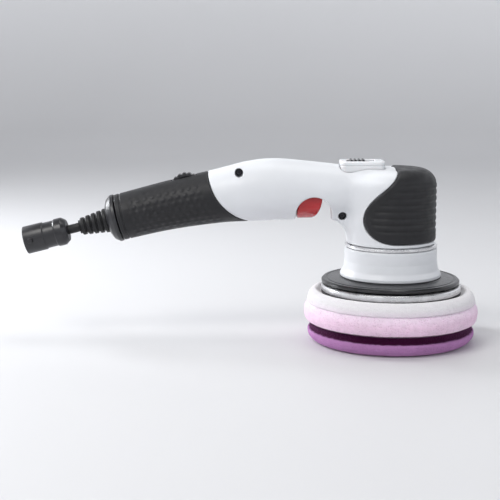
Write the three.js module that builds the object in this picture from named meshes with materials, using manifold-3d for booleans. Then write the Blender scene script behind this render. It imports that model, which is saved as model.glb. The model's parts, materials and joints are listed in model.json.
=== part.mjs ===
// Random orbital polisher: an upright brushless motor turns an eccentric hub,
// and a freely spinning pad orbits under it.
// Millimetres, +Z up. The origin is on the motor axis, in the plane of the pad's working face.
// +X is the front of the head. The handle runs back along -X and droops a little towards its tail.
import * as THREE from "three";
import { mergeVertices } from "three/addons/utils/BufferGeometryUtils.js";
import Module from "manifold-3d";

// ---------- Driving dimensions ----------
const fit = 0.3; // clearance between neighbouring pieces
const wall = 2.8; // wall of the plastic casing
const orbitRadius = 6; // offset between the motor axis and the pad's own axis
const sides = { large: 32, hidden: 24, medium: 20, small: 14, tiny: 8 }; // flats round a circle, by its size

const foam = { radius: 75, flat: 60, faceTop: 16.8, bodyTop: 39.4 };
const loop = { radius: 66.5, top: 41.6 };
const cushion = { radius: 60, top: 43.6 };
const plate = {
  radius: 60,
  top: 47.2,
  rim: 55,
  rimTop: 49.5,
  hubRadius: 15,
  hubTop: 52,
  vents: 12,
  ventRadius: 4.2,
  ventCircle: 49,
};
const skirt = { radius: 59.5, bottom: 50, top: 55.4, inner: 36 };
const collar = { bottom: 55.7, top: 80.8, foot: 43.5, radius: 39.8, inner: 35 };
const carrier = { bottom: 81.1, top: 84.1, hub: 17, hubTop: 91.2 };
const head = { bottom: 84.4, radius: 37.5, dome: 14, top: 148 };
const can = { radius: 33.2, wall: 1.6, top: 129, bossRadius: 14.2, bossTop: 138 };
const stator = { outer: 31.2, yoke: 25, bore: 18.6, bottom: 93, top: 119, teeth: 9 };

// Centre height and radius of the handle at stations along X, from inside the head to the tail.
const handleStations = [
  [-8, 128, 19],
  [-30, 128.5, 21.5],
  [-60, 129.5, 24],
  [-100, 130.5, 26.5],
  [-125, 128.7, 25.7],
  [-148, 125, 23.5],
  [-190, 117, 21.5],
  [-234, 106.2, 20.5],
  [-256, 100.5, 20],
];
const gripThickness = 2.2; // rubber sleeve over the rear of the handle
const gripEdge = { x: -106, z: 153, radius: 52 }; // arc, seen from the side, where the sleeve starts
const tail = { x: -234, z: 106.2, radius: 20.5, droop: THREE.MathUtils.degToRad(14) }; // end of the casing

const opening = { x: -67.4, z: 110.6, radius: 15.4 }; // arched finger opening round the trigger
const trigger = {
  halfWidth: 18.6,
  cheek: 2.8,
  top: 127,
  pocketFloor: 121.4,
  armHalfWidth: 11,
  pivot: [-87, 121],
  pinRadius: 1.5,
  springX: -76,
  springSeat: 118,
};
const triggerModuleBox = { from: -84, to: -59, halfWidth: 9, bottom: 133, top: 146 };
const triggerSpringSize = { radius: 3.1, wire: 0.5, turns: 4, clear: 0.9 };
const bezel = { from: -45, to: -7, halfWidth: 13.5, corner: 5, bottom: 142.5, top: 155.2 };
const slider = { from: -38, to: -23, halfWidth: 7, floor: 150.8, top: 156.4, ridges: 4, ridgePitch: 3.4 };
const sliderSlot = { from: -33, to: -18, halfWidth: 2.6, bottom: 139 };
const powerSwitchBox = { from: -43, to: -16.5, halfWidth: 7, bottom: 131.5, top: 141.8 };
const dial = { x: -176, z: 130, radius: 15, halfWidth: 4, axle: 2, notches: 20 };

// Casing screws run along Y: position in X and Z, and the Y of the seat under the head.
const shellScrews = [
  [-131, 146, -9],
  [-151, 112, -9],
  [-43, 109, -7],
  [24, 141, -9],
  [-196, 121.5, -8],
];
const shellScrew = {
  cap: 3.1,
  capHeight: 2.4,
  shank: 1.4,
  end: 11,
  seatHole: 3.6,
  shankHole: 1.7,
  boss: 4.2,
};
const neckScrews = {
  count: 3,
  circle: 37.5,
  seat: 52.3,
  top: 83,
  cap: 3,
  capHeight: 2.4,
  shank: 1.35,
  hole: 1.7,
};
const socket = { radius: 1.5, depth: 1.2 }; // hexagon socket in every screw head
const underVents = { count: 3, from: -93, pitch: 5, halfWidth: 1.3, reach: 7, bottom: 95, top: 110 };

const rotor = { bore: 5.3, core: 15.1, magnetBore: 15.4, magnet: 18, bottom: 93, top: 119 };
const shaft = { bottom: 71.4, radius: 4.9, shoulder: 126, endRadius: 3.9, top: 136.4 };
const fan = {
  bottom: 73.4,
  disc: 1,
  radius: 31.5,
  bore: 9.4,
  hub: 12,
  hubTop: 79.6,
  blades: 11,
  bladeTop: 79,
};
const hub = {
  flangeRadius: 32,
  bottom: 70,
  flangeTop: 73,
  boss: 9,
  bossTop: 79.4,
  pocket: 14.15,
  pocketWall: 3.25,
};
const weight = { inner: 19.4, outer: 31.5, bottom: 58, top: 69.7, from: 4 };
const upperBearing = { bore: 4, radius: 11, bottom: 129.2, width: 7, balls: 7 };
const lowerBearing = { bore: 5, radius: 13, bottom: 83.5, width: 7.5, balls: 7 };
const padBearing = { bore: 6, radius: 14, bottom: 57, width: 12, balls: 8 };
const spindle = { bottom: 52.4, flange: 11, flangeTop: 55.6, flat: 9.5, top: 69.2, radius: 5.9, thread: 4.2 };
const bolt = { bottom: 44.9, head: 6.2, headTop: 48.3, shank: 3.9, top: 65.4, socket: 3.3 };

const board = { from: -142, to: -92, halfWidth: 14, bottom: 124.6, top: 126.2 };
const sink = {
  from: -136,
  to: -100,
  halfWidth: 12,
  bottom: 126.6,
  baseTop: 129,
  top: 137,
  fins: 5,
  fin: 1.6,
};
const capacitor = { from: -141, to: -119, z: 117.6, radius: 6 };

// Pieces of the tail: radius, and distance beyond the casing's end.
const cord = { radius: 3.9, hole: 4.2, from: -28, to: 58 };
const boot = { flange: 9.5, neck: 6.9, firstRib: 10.4, ribs: 5, ribPitch: 5, taper: 0.7 };
const plug = { radius: 12, from: 46, to: 84, pocket: 8.6, pocketFrom: 72, coreFrom: 60.5, lugReach: 13.4 };
const pin = { radius: 1.6, offset: 4, from: 72.3, to: 81 };

// ---------- Geometry helpers ----------
const wasm = await Module();
wasm.setup();

const v2 = (x, y) => new THREE.Vector2(x, y);

// A closed geometry as a manifold-3d solid, ready for cutting and joining.
function solid(geometry) {
  const bare = geometry.clone();
  bare.deleteAttribute("normal");
  bare.deleteAttribute("uv");
  const merged = mergeVertices(bare, 1e-4);
  return new wasm.Manifold(
    new wasm.Mesh({
      numProp: 3,
      vertProperties: merged.attributes.position.array,
      triVerts: new Uint32Array(merged.index.array),
    }),
  );
}

// A manifold-3d solid as a geometry with flat-shaded normals.
function geometryOf(body) {
  const mesh = body.getMesh();
  const geometry = new THREE.BufferGeometry();
  geometry.setAttribute("position", new THREE.BufferAttribute(new Float32Array(mesh.vertProperties), 3));
  geometry.setIndex(new THREE.BufferAttribute(new Uint32Array(mesh.triVerts), 1));
  const flat = geometry.toNonIndexed();
  flat.computeVertexNormals();
  return flat;
}

// A solid of revolution about Z from [radius, height] points, with its faces turned outwards.
// A ring's outline is closed; a full body's outline starts and ends on the axis.
function turned(profile, segments = sides.medium) {
  const onAxis = profile[0][0] === 0;
  const outline = onAxis ? profile : [...profile, profile[0]];
  let area = 0;
  outline.forEach(([r, z], i) => {
    const [nextR, nextZ] = outline[(i + 1) % outline.length];
    area += r * nextZ - nextR * z;
  });
  const ordered = area > 0 ? outline : [...outline].reverse();
  const geometry = new THREE.LatheGeometry(ordered.map(([r, z]) => v2(r, z)), segments);
  return geometry.rotateX(Math.PI / 2);
}

function cylinderZ(radius, from, to, segments = sides.small) {
  return turned([[0, from], [radius, from], [radius, to], [0, to]], segments);
}

// A cylinder along Y between two Y values, round the axis through (x, z).
function cylinderY(radius, x, z, from, to, segments = sides.tiny) {
  const geometry = new THREE.CylinderGeometry(radius, radius, to - from, segments);
  return geometry.translate(x, (from + to) / 2, z);
}

function block(x0, x1, y0, y1, z0, z1) {
  const geometry = new THREE.BoxGeometry(x1 - x0, y1 - y0, z1 - z0);
  return geometry.translate((x0 + x1) / 2, (y0 + y1) / 2, (z0 + z1) / 2);
}

// A shape drawn in the XZ plane, extruded from y = -half to y = half.
function slab(shape, half, curveSegments = 10) {
  const geometry = new THREE.ExtrudeGeometry(shape, { depth: 2 * half, bevelEnabled: false, curveSegments });
  return geometry.rotateX(Math.PI / 2).translate(0, half, 0);
}

// A vertical block with rounded corners.
function roundedBlock(x0, x1, halfWidth, corner, z0, z1) {
  const shape = new THREE.Shape();
  shape.moveTo(x0 + corner, -halfWidth);
  shape.absarc(x1 - corner, -halfWidth + corner, corner, -Math.PI / 2, 0);
  shape.absarc(x1 - corner, halfWidth - corner, corner, 0, Math.PI / 2);
  shape.absarc(x0 + corner, halfWidth - corner, corner, Math.PI / 2, Math.PI);
  shape.absarc(x0 + corner, -halfWidth + corner, corner, Math.PI, 1.5 * Math.PI);
  const settings = { depth: z1 - z0, bevelEnabled: false, curveSegments: 4 };
  const geometry = new THREE.ExtrudeGeometry(shape, settings);
  return geometry.translate(0, 0, z0);
}

// A tube of round section along a curve.
function tube(curve, radius, steps, corners) {
  const section = new THREE.Shape().absarc(0, 0, radius, 0, 2 * Math.PI);
  const settings = { steps, extrudePath: curve, curveSegments: corners / 2, bevelEnabled: false };
  return new THREE.ExtrudeGeometry(section, settings);
}

// A closed skin through rings of points, with flat ends.
// Each ring turns left-handed about the way to the next.
function loft(rings) {
  const count = rings[0].length;
  const points = rings.flat();
  const indices = [];
  for (let ring = 0; ring + 1 < rings.length; ring++) {
    for (let i = 0; i < count; i++) {
      const a = ring * count + i;
      const b = ring * count + ((i + 1) % count);
      indices.push(a, b, a + count, b, b + count, a + count);
    }
  }
  const last = (rings.length - 1) * count;
  for (let i = 1; i + 1 < count; i++) {
    indices.push(0, i + 1, i, last, last + i, last + i + 1);
  }
  const geometry = new THREE.BufferGeometry().setFromPoints(points);
  geometry.setIndex(indices);
  return geometry;
}

// ---------- Outer forms shared by several pieces ----------
const handleLine = new THREE.CatmullRomCurve3(handleStations.map(([x, z, r]) => new THREE.Vector3(x, r, z)));

// The handle between two shares of its line, with its radius changed by `grow`.
function handleForm(grow, from = 0, to = 1, stations = 10) {
  const rings = [];
  for (let i = 0; i <= stations; i++) {
    const at = handleLine.getPoint(from + ((to - from) * i) / stations);
    const radius = at.y + grow;
    rings.push(
      Array.from({ length: sides.medium }, (_, k) => {
        const angle = (-2 * Math.PI * k) / sides.medium;
        return new THREE.Vector3(at.x, radius * Math.cos(angle), at.z + radius * Math.sin(angle));
      }),
    );
  }
  return solid(loft(rings));
}

// The head: a cylinder with a rounded top edge, with its surface moved out by `grow`.
function headForm(grow, bottom = head.bottom, segments = sides.large) {
  const { radius, dome, top } = head;
  const points = [[0, bottom], [radius + grow, bottom]];
  const steps = 4;
  for (let i = 0; i <= steps; i++) {
    const angle = (Math.PI / 2) * (i / steps);
    const centre = radius - dome;
    points.push([centre + (dome + grow) * Math.cos(angle), top - dome + (dome + grow) * Math.sin(angle)]);
  }
  points.push([0, top + grow]);
  return solid(turned(points, segments));
}

// Web that rounds the inside corner between the neck and the underside of the handle.
function cornerWeb() {
  const shape = new THREE.Shape();
  shape.moveTo(-34, 86);
  shape.lineTo(-37, 88);
  shape.quadraticCurveTo(-43, 103, -56, 106.6);
  shape.lineTo(-56, 112);
  shape.lineTo(-34, 112);
  return solid(slab(shape, 13, 4));
}

// The tail's own frame: its -X runs on along the handle, down and back from the casing's end.
const tailFrame = new THREE.Matrix4().makeRotationY(-tail.droop).setPosition(tail.x, 0, tail.z);
const beyondTail = solid(block(-60, 0, -60, 60, -60, 60).applyMatrix4(tailFrame));

const dialSlot = solid(
  cylinderY(dial.radius + 0.8, dial.x, dial.z, -dial.halfWidth - 0.7, dial.halfWidth + 0.7, sides.medium),
).intersect(solid(block(-200, -140, -10, 10, 126, 160)));

const arcCutter = (radius) => solid(cylinderY(radius, gripEdge.x, gripEdge.z, -60, 60, 64));

// Side outline of the rubber palm grip, grown by `grow`.
function palmOutline(grow = 0) {
  const shape = new THREE.Shape();
  shape.moveTo(3 - grow, 152);
  shape.bezierCurveTo(3 - grow, 136, -25 - grow, 128, -26 - grow, 108);
  shape.bezierCurveTo(-26.5 - grow, 96, -16 - grow, 87.4 - grow, 2, 87.4 - grow);
  shape.lineTo(60, 87.4 - grow);
  shape.lineTo(60, 152);
  return shape;
}

// ---------- Casing ----------
function archForm(radius, halfDepth = 40) {
  const { x, z } = opening;
  const shape = new THREE.Shape();
  shape.moveTo(x + radius, 90);
  shape.lineTo(x + radius, z);
  shape.absarc(x, z, radius, 0, Math.PI);
  shape.lineTo(x - radius, 90);
  return solid(slab(shape, halfDepth, 6));
}

// Wall that closes the casing in front of the trigger.
function openingWall() {
  const front = solid(block(opening.x + 8, opening.x + 30, -40, 40, 90, 150));
  return archForm(opening.radius + 2).intersect(front);
}

function casingHalves() {
  const behindEdge = solid(block(-270, -110, -60, 60, 60, 180)).subtract(arcCutter(gripEdge.radius));
  const sleeveSpace = behindEdge.subtract(handleForm(-gripThickness - fit));
  let outer = headForm(0).add(handleForm(0)).add(cornerWeb()).subtract(sleeveSpace).subtract(beyondTail);

  const palmSpace = solid(slab(palmOutline(fit), 60, 5)).subtract(headForm(-1.7, head.bottom - 1));
  outer = outer.subtract(palmSpace);

  const handleRoom = handleForm(-wall - gripThickness - fit, 0.02, 1, 7);
  const cavity = headForm(-wall - 0.4, head.bottom - 5).add(handleRoom);
  const aheadOfSleeve = arcCutter(gripEdge.radius - 4).add(solid(block(-100, 20, -60, 60, 60, 180)));
  const roomByTrigger = handleForm(-wall, 0.02, 0.6, 6).intersect(aheadOfSleeve);
  let casing = outer.subtract(cavity).subtract(roomByTrigger);

  for (const [x, z] of shellScrews) {
    casing = casing.add(solid(cylinderY(shellScrew.boss, x, z, -40, 40)).intersect(outer));
  }
  const [pivotX, pivotZ] = trigger.pivot;
  const between = trigger.armHalfWidth + 0.6;
  const pivotBosses = solid(cylinderY(3.8, pivotX, pivotZ, -40, 40)).subtract(
    solid(block(pivotX - 9, pivotX + 9, -between, between, pivotZ - 9, pivotZ + 9)),
  );
  casing = casing.add(pivotBosses.intersect(outer)).add(openingWall().intersect(outer));
  const axleBoss = solid(cylinderY(4, dial.x, dial.z, -40, -dial.halfWidth - 1)).intersect(outer);
  casing = casing.add(axleBoss).subtract(solid(cylinderY(dial.axle + fit, dial.x, dial.z, -7, 0)));

  const mouth = bezel.corner;
  const bezelSpace = solid(
    roundedBlock(bezel.from - fit, bezel.to + fit, bezel.halfWidth + fit, mouth, bezel.bottom - fit, 170),
  );
  casing = casing.subtract(archForm(opening.radius)).subtract(bezelSpace).subtract(dialSlot);
  casing = casing.subtract(solid(cylinderY(1.8, pivotX, pivotZ, -16.5, 16.5)));

  casing = cutUnderVents(casing);
  for (const [x, z, seat] of shellScrews) {
    casing = casing
      .subtract(solid(cylinderY(shellScrew.shankHole, x, z, seat - 1, shellScrew.end + 1)))
      .subtract(solid(cylinderY(shellScrew.seatHole, x, z, -40, seat, sides.small)));
  }
  const left = casing.intersect(solid(block(-300, 100, fit / 2, 80, 0, 200)));
  const right = casing.intersect(solid(block(-300, 100, -80, -fit / 2, 0, 200)));
  return { left: largest(left), right: largest(right) };
}

// Cooling slots across the underside, between the sleeve and the trigger.
function cutUnderVents(casing) {
  const { count, from, pitch, halfWidth, reach, bottom, top } = underVents;
  for (let i = 0; i < count; i++) {
    const x = from - pitch * i;
    casing = casing.subtract(solid(block(x - halfWidth, x + halfWidth, -reach, reach, bottom, top)));
  }
  return casing;
}

// The biggest connected body of a solid; slivers left by a cut are dropped.
function largest(body) {
  return body.decompose().reduce((best, piece) => (piece.volume() > best.volume() ? piece : best));
}

function palmGrip() {
  const skin = headForm(0.9, 87).subtract(headForm(-1.4, 80));
  return largest(skin.intersect(solid(slab(palmOutline(), 60, 5))));
}

function rearSleeve() {
  const skin = handleForm(0).subtract(handleForm(-gripThickness));
  const front = solid(block(-110, 20, -60, 60, 60, 180));
  const behindArc = skin.subtract(front).subtract(arcCutter(gripEdge.radius + fit));
  return largest(behindArc.subtract(beyondTail).subtract(dialSlot));
}

function shellScrewForm([x, z, seat]) {
  const under = seat - 0.2;
  const face = under - shellScrew.capHeight;
  const cap = solid(cylinderY(shellScrew.cap, x, z, face, under, 12));
  const shank = solid(cylinderY(shellScrew.shank, x, z, under - 0.1, shellScrew.end));
  const hexagon = solid(cylinderY(socket.radius, x, z, face - 1, face + socket.depth, 6));
  return cap.add(shank).subtract(hexagon);
}

// ---------- Neck ----------
function neckCollar() {
  const { bottom, top, foot, radius, inner } = collar;
  const flare = [[foot, bottom], [foot, bottom + 3], [41.2, bottom + 6.5], [radius, bottom + 14]];
  const body = turned([...flare, [radius, top], [inner, top], [inner, bottom]], sides.large);
  return drillNeck(solid(body));
}

function skirtRing() {
  const { radius, bottom, top, inner } = skirt;
  const body = turned(
    [
      [radius, bottom],
      [radius, bottom + 2.2],
      [radius - 2, bottom + 3.6],
      [45, top - 0.5],
      [44, top],
      [inner, top],
      [inner, top - 2.4],
      [radius - 4, bottom + 1.4],
      [radius - 2.6, bottom],
    ],
    sides.large,
  );
  return drillNeck(solid(body));
}

function neckScrewPlaces() {
  return Array.from({ length: neckScrews.count }, (_, i) => {
    const angle = THREE.MathUtils.degToRad(60 + 120 * i);
    return [neckScrews.circle * Math.cos(angle), neckScrews.circle * Math.sin(angle)];
  });
}

function drillNeck(body) {
  for (const [x, y] of neckScrewPlaces()) {
    const hole = cylinderZ(neckScrews.hole, skirt.bottom - 2, neckScrews.top + 0.5, sides.tiny);
    body = body.subtract(solid(hole.translate(x, y, 0)));
  }
  return body;
}

function neckScrew() {
  const face = neckScrews.seat - neckScrews.capHeight;
  const cap = solid(cylinderZ(neckScrews.cap, face, neckScrews.seat, 12));
  const shank = solid(cylinderZ(neckScrews.shank, neckScrews.seat - 0.2, neckScrews.top, sides.tiny));
  return cap.add(shank).subtract(solid(cylinderZ(socket.radius, face - 1, face + socket.depth, 6)));
}

function bearingCarrier() {
  const { bottom, top, hub, hubTop } = carrier;
  const body = turned(
    [
      [6.5, bottom],
      [collar.radius, bottom],
      [collar.radius, top],
      [31.2, top],
      [31.2, top + 3],
      [29.2, top + 3],
      [29.2, top],
      [hub, top],
      [hub, hubTop],
      [13.1, hubTop],
      [13.1, 83.2],
      [6.5, 83.2],
    ],
    sides.large,
  );
  return drillNeck(solid(body));
}

// ---------- Motor ----------
function motorCan() {
  const { radius, wall: thickness, top, bossRadius, bossTop } = can;
  const inner = radius - thickness;
  return turned(
    [
      [radius, 84.4],
      [radius, top],
      [bossRadius, top],
      [bossRadius, bossTop],
      [5.5, bossTop],
      [5.5, bossTop - 1.2],
      [11.15, bossTop - 1.2],
      [11.15, top - thickness],
      [inner, top - thickness],
      [inner, 84.4],
    ],
    sides.hidden,
  );
}

function statorCore() {
  const { outer, yoke, bore, bottom, top, teeth } = stator;
  let core = solid(ring(yoke, outer, bottom, top, sides.hidden));
  for (let i = 0; i < teeth; i++) {
    const tooth = block(bore, yoke + 1, -3, 3, bottom, top).rotateZ((2 * Math.PI * i) / teeth);
    core = core.add(solid(tooth));
  }
  return core;
}

function statorWindings() {
  const { yoke, bottom, top, teeth } = stator;
  const endTurns = (from, to) => solid(ring(19.6, yoke - 0.6, from, to));
  let coils = endTurns(bottom - 4.6, bottom - 0.4).add(endTurns(top + 0.4, top + 4.6));
  for (let i = 0; i < teeth; i++) {
    const bar = block(20, yoke - 1, -3.4, 3.4, bottom - 2, top + 2);
    coils = coils.add(solid(bar.rotateZ((2 * Math.PI * (i + 0.5)) / teeth)));
  }
  return coils;
}

// A plain ring between two radii and two heights.
function ring(inner, outer, from, to, segments = sides.medium) {
  return turned([[inner, from], [outer, from], [outer, to], [inner, to]], segments);
}

const rotorCore = () => ring(rotor.bore, rotor.core, rotor.bottom, rotor.top);
const rotorMagnets = () => ring(rotor.magnetBore, rotor.magnet, rotor.bottom + 0.5, rotor.top - 0.5);

function motorShaft() {
  const { bottom, radius, shoulder, endRadius, top } = shaft;
  const side = [[radius, bottom], [radius, shoulder - 0.5], [endRadius, shoulder + 0.5], [endRadius, top]];
  return turned([[0, bottom], ...side, [0, top]], sides.small);
}

// Outer ring with shields, inner ring and caged balls of one bearing, all about Z.
function bearing({ bore, radius, bottom: z0, width, balls }) {
  const depth = radius - bore;
  const innerEdge = bore + 0.3 * depth;
  const outerEdge = radius - 0.26 * depth;
  const z1 = z0 + width;
  const lip = innerEdge + 0.35;
  const shield = 0.6;
  const outer = turned([
    [radius, z0],
    [radius, z1],
    [lip, z1],
    [lip, z1 - shield],
    [outerEdge, z1 - shield],
    [outerEdge, z0 + shield],
    [lip, z0 + shield],
    [lip, z0],
  ]);
  const inner = ring(bore, innerEdge, z0, z1);
  const middle = (innerEdge + outerEdge) / 2;
  const ball = (outerEdge - innerEdge) / 2 - 0.25;
  const zMiddle = z0 + width / 2;
  const half = 0.45 * ball;
  let caged = solid(ring(middle - half, middle + half, zMiddle - half, zMiddle + half, balls));
  for (let i = 0; i < balls; i++) {
    const angle = (2 * Math.PI * i) / balls;
    const sphere = new THREE.IcosahedronGeometry(ball).translate(
      middle * Math.cos(angle),
      middle * Math.sin(angle),
      zMiddle,
    );
    caged = caged.add(solid(sphere));
  }
  return { outer, inner, caged };
}

// ---------- Eccentric drive ----------
function coolingFan() {
  const { bottom, disc, radius, bore, hub: hubRadius, hubTop, blades, bladeTop } = fan;
  let wheel = solid(ring(bore, radius, bottom, bottom + disc));
  wheel = wheel.add(solid(ring(bore, hubRadius, bottom, hubTop)));
  for (let i = 0; i < blades; i++) {
    const blade = block(hubRadius - 0.5, radius - 0.5, -0.6, 0.6, bottom + disc / 2, bladeTop);
    wheel = wheel.add(solid(blade.rotateZ((2 * Math.PI * i) / blades)));
  }
  return wheel;
}

// Boss on the motor shaft, flange for the counterweight, and an offset pocket for the pad's bearing.
function eccentricHub() {
  const { flangeRadius, bottom, flangeTop, boss, bossTop, pocket, pocketWall } = hub;
  const bore = shaft.radius + 0.2;
  const flange = turned([[0, bottom], [flangeRadius, bottom], [flangeRadius, flangeTop], [0, flangeTop]]);
  const stem = solid(cylinderZ(boss, bottom + 1, bossTop, sides.medium));
  const shaftHole = solid(cylinderZ(bore, shaft.bottom - 0.2, bossTop + 1, sides.medium));
  const cup = ring(pocket, pocket + pocketWall, padBearing.bottom - 0.8, bottom + 0.5);
  return solid(flange).add(stem).subtract(shaftHole).add(solid(cup.translate(0, -orbitRadius, 0)));
}

function counterweight() {
  const { inner, outer, bottom, top, from } = weight;
  const half = solid(block(-40, 40, from, 40, bottom - 1, top + 1));
  return solid(ring(inner, outer, bottom, top)).intersect(half);
}

// ---------- Pad, all about the pad's own axis ----------
function padSpindle() {
  const { bottom, flange, flangeTop, flat, top, radius, thread } = spindle;
  const shoulder = flangeTop + 1;
  const side = [[flange, bottom], [flange, flangeTop], [7.6, flangeTop], [7.6, shoulder], [radius, shoulder]];
  const stem = solid(turned([[0, bottom], ...side, [radius, top], [0, top]], sides.small));
  const flats = solid(block(-flat, flat, -20, 20, bottom - 1, top + 1));
  return stem.intersect(flats).subtract(solid(cylinderZ(thread, bottom - 1, bolt.top + 0.6)));
}

function plateBolt() {
  const cap = solid(cylinderZ(bolt.head, bolt.bottom, bolt.headTop));
  const shank = solid(cylinderZ(bolt.shank, bolt.headTop - 0.3, bolt.top, 12));
  return cap.add(shank).subtract(solid(cylinderZ(bolt.socket, bolt.bottom - 1, bolt.bottom + 2.1, 6)));
}

function backingPlate() {
  const { radius, top, rim, rimTop, hubRadius, hubTop, vents, ventRadius, ventCircle } = plate;
  const bottom = cushion.top + fit;
  let body = solid(
    turned(
      [
        [6.6, bottom],
        [radius, bottom],
        [radius, rimTop],
        [rim, rimTop],
        [rim, top],
        [hubRadius, top],
        [hubRadius, hubTop],
        [4.3, hubTop],
        [4.3, 48.6],
        [6.6, 48.6],
      ],
      sides.large,
    ),
  );
  for (let i = 0; i < vents; i++) {
    const angle = (2 * Math.PI * i) / vents;
    const vent = cylinderZ(ventRadius, bottom - 1, top + 1, sides.tiny);
    vent.translate(ventCircle * Math.cos(angle), ventCircle * Math.sin(angle), 0);
    body = body.subtract(solid(vent));
  }
  return body;
}

// A flat layer with a hole for the bolt head.
const padLayer = (radius, from, to) => ring(9, radius, from, to, sides.large);

function foamBody() {
  const bottom = foam.faceTop + 0.4;
  return turned(
    [
      [0, bottom],
      [70, bottom],
      [73, bottom + 2],
      [foam.radius, bottom + 7.5],
      [foam.radius - 0.6, bottom + 12],
      [71.5, bottom + 17.5],
      [68.2, foam.bodyTop],
      [0, foam.bodyTop],
    ],
    sides.large,
  );
}

function foamFace() {
  return turned(
    [
      [0, 0],
      [foam.flat, 0],
      [65, 1.8],
      [69.4, 6.5],
      [72, 12.5],
      [72, foam.faceTop - 1.6],
      [70, foam.faceTop],
      [0, foam.faceTop],
    ],
    sides.large,
  );
}

// ---------- Controls ----------
// Hollow lever: a finger pad with side cheeks that fill the arch, and two arms to the pivot.
function triggerLever() {
  const { halfWidth, cheek, top, pocketFloor, armHalfWidth, springX, springSeat, pinRadius } = trigger;
  const [pivotX, pivotZ] = trigger.pivot;
  const finger = new THREE.Shape();
  finger.moveTo(-79, top);
  finger.lineTo(-79, pocketFloor);
  finger.quadraticCurveTo(-82, 117, -82, 110.6);
  finger.lineTo(-82, 107.5);
  finger.quadraticCurveTo(-81.6, 105, -79, 105);
  finger.lineTo(-67, 105);
  finger.quadraticCurveTo(-62.4, 112, -60.6, pocketFloor);
  finger.lineTo(-60.6, top);
  const innerHalf = halfWidth - cheek;
  const pocket = solid(block(-80, -60.6 - cheek, -innerHalf, innerHalf, pocketFloor, top + 1));
  const arm = new THREE.Shape();
  arm.moveTo(-72, pocketFloor);
  arm.lineTo(pivotX, pivotZ + 4.4);
  arm.absarc(pivotX, pivotZ, 4.4, Math.PI / 2, 1.5 * Math.PI);
  arm.lineTo(-80, pivotZ - 5.5);
  arm.lineTo(-72, pivotZ - 5.5);
  return solid(slab(finger, halfWidth, 5))
    .intersect(handleForm(-0.6))
    .subtract(pocket)
    .add(solid(slab(arm, armHalfWidth, 5)))
    .subtract(solid(cylinderY(pinRadius + fit, pivotX, pivotZ, -20, 20)))
    .subtract(solid(cylinderZ(4.2, springSeat, 140).translate(springX, 0, 0)));
}

const triggerPin = () => cylinderY(trigger.pinRadius, ...trigger.pivot, -16, 16);

function triggerSpring() {
  const { radius, wire, turns, clear } = triggerSpringSize;
  const bottom = trigger.springSeat + clear;
  const height = triggerModuleBox.bottom - clear - bottom;
  class Helix extends THREE.Curve {
    getPoint(t, target = new THREE.Vector3()) {
      const angle = 2 * Math.PI * turns * t;
      const x = trigger.springX + radius * Math.cos(angle);
      return target.set(x, radius * Math.sin(angle), bottom + height * t);
    }
  }
  return tube(new Helix(), wire, turns * 10, 4);
}

// A block from a box of named sizes, centred on y = 0.
function centredBlock({ from, to, halfWidth, bottom, top }) {
  return block(from, to, -halfWidth, halfWidth, bottom, top);
}

const triggerModule = () => centredBlock(triggerModuleBox);

function switchBezel() {
  const { from, to, halfWidth, corner, bottom, top } = bezel;
  const housing = solid(roundedBlock(from, to, halfWidth, corner, bottom, top));
  const recessHalf = slider.halfWidth + 0.5;
  const recess = block(slider.from - 1, slider.to + 8, -recessHalf, recessHalf, slider.floor - fit, top + 4);
  const slot = centredBlock({ ...sliderSlot, bottom: bottom - 2, top });
  return housing.subtract(solid(recess)).subtract(solid(slot));
}

function powerSlider() {
  const { from, to, halfWidth, floor, top, ridges, ridgePitch } = slider;
  const stem = block(-32, -28, -2.1, 2.1, sliderSlot.bottom, floor + 1);
  let body = solid(block(from, to, -halfWidth, halfWidth, floor, top - 1.4)).add(solid(stem));
  for (let i = 0; i < ridges; i++) {
    const x = from + 2 + ridgePitch * i;
    body = body.add(solid(block(x, x + ridgePitch / 2, -halfWidth, halfWidth, top - 1.6, top)));
  }
  return body;
}

function powerSwitch() {
  const well = block(-34, -17.5, -2.8, 2.8, sliderSlot.bottom - 1, powerSwitchBox.top + 3);
  return solid(centredBlock(powerSwitchBox)).subtract(solid(well));
}

function speedDial() {
  const { x, z, radius, halfWidth, axle, notches } = dial;
  const shape = new THREE.Shape();
  for (let i = 0; i < 2 * notches; i++) {
    const angle = (Math.PI * i) / notches;
    const reach = i % 2 ? radius - 0.8 : radius;
    const point = [x + reach * Math.cos(angle), z + reach * Math.sin(angle)];
    if (i) shape.lineTo(...point);
    else shape.moveTo(...point);
  }
  return solid(slab(shape, halfWidth)).add(solid(cylinderY(axle, x, z, -6.4, 6.4)));
}

function dialSensor() {
  const { x, z, axle } = dial;
  return solid(block(x - 4, x + 7, dial.halfWidth + 1, 8.6, z - 9, z + 3.2)).subtract(
    solid(cylinderY(axle + fit, x, z, 0, 7)),
  );
}

// ---------- Electronics ----------
const controllerBoard = () => centredBlock(board);

function heatSink() {
  const { from, to, halfWidth, bottom, baseTop, top, fins, fin } = sink;
  const pitch = (2 * halfWidth - fin) / (fins - 1);
  let body = solid(block(from, to, -halfWidth, halfWidth, bottom, baseTop));
  for (let i = 0; i < fins; i++) {
    const y = pitch * i - halfWidth;
    body = body.add(solid(block(from, to, y, y + fin, baseTop - 1, top)));
  }
  return body;
}

function filterCapacitor() {
  const { from, to, z, radius } = capacitor;
  return cylinderZ(radius, from, to).rotateY(Math.PI / 2).translate(0, 0, z);
}

function motorCable() {
  const path = new THREE.CatmullRomCurve3([
    new THREE.Vector3(-94, 12, 128.6),
    new THREE.Vector3(-84, 14, 137),
    new THREE.Vector3(-66, 14, 141),
    new THREE.Vector3(-48, 12, 136),
    new THREE.Vector3(-37, 7, 124),
  ]);
  return tube(path, 1.9, 10, 6);
}

// ---------- Tail, drawn along the local -X direction from the casing's end ----------
const alongTail = (geometry) => geometry.rotateY(-Math.PI / 2);

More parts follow.
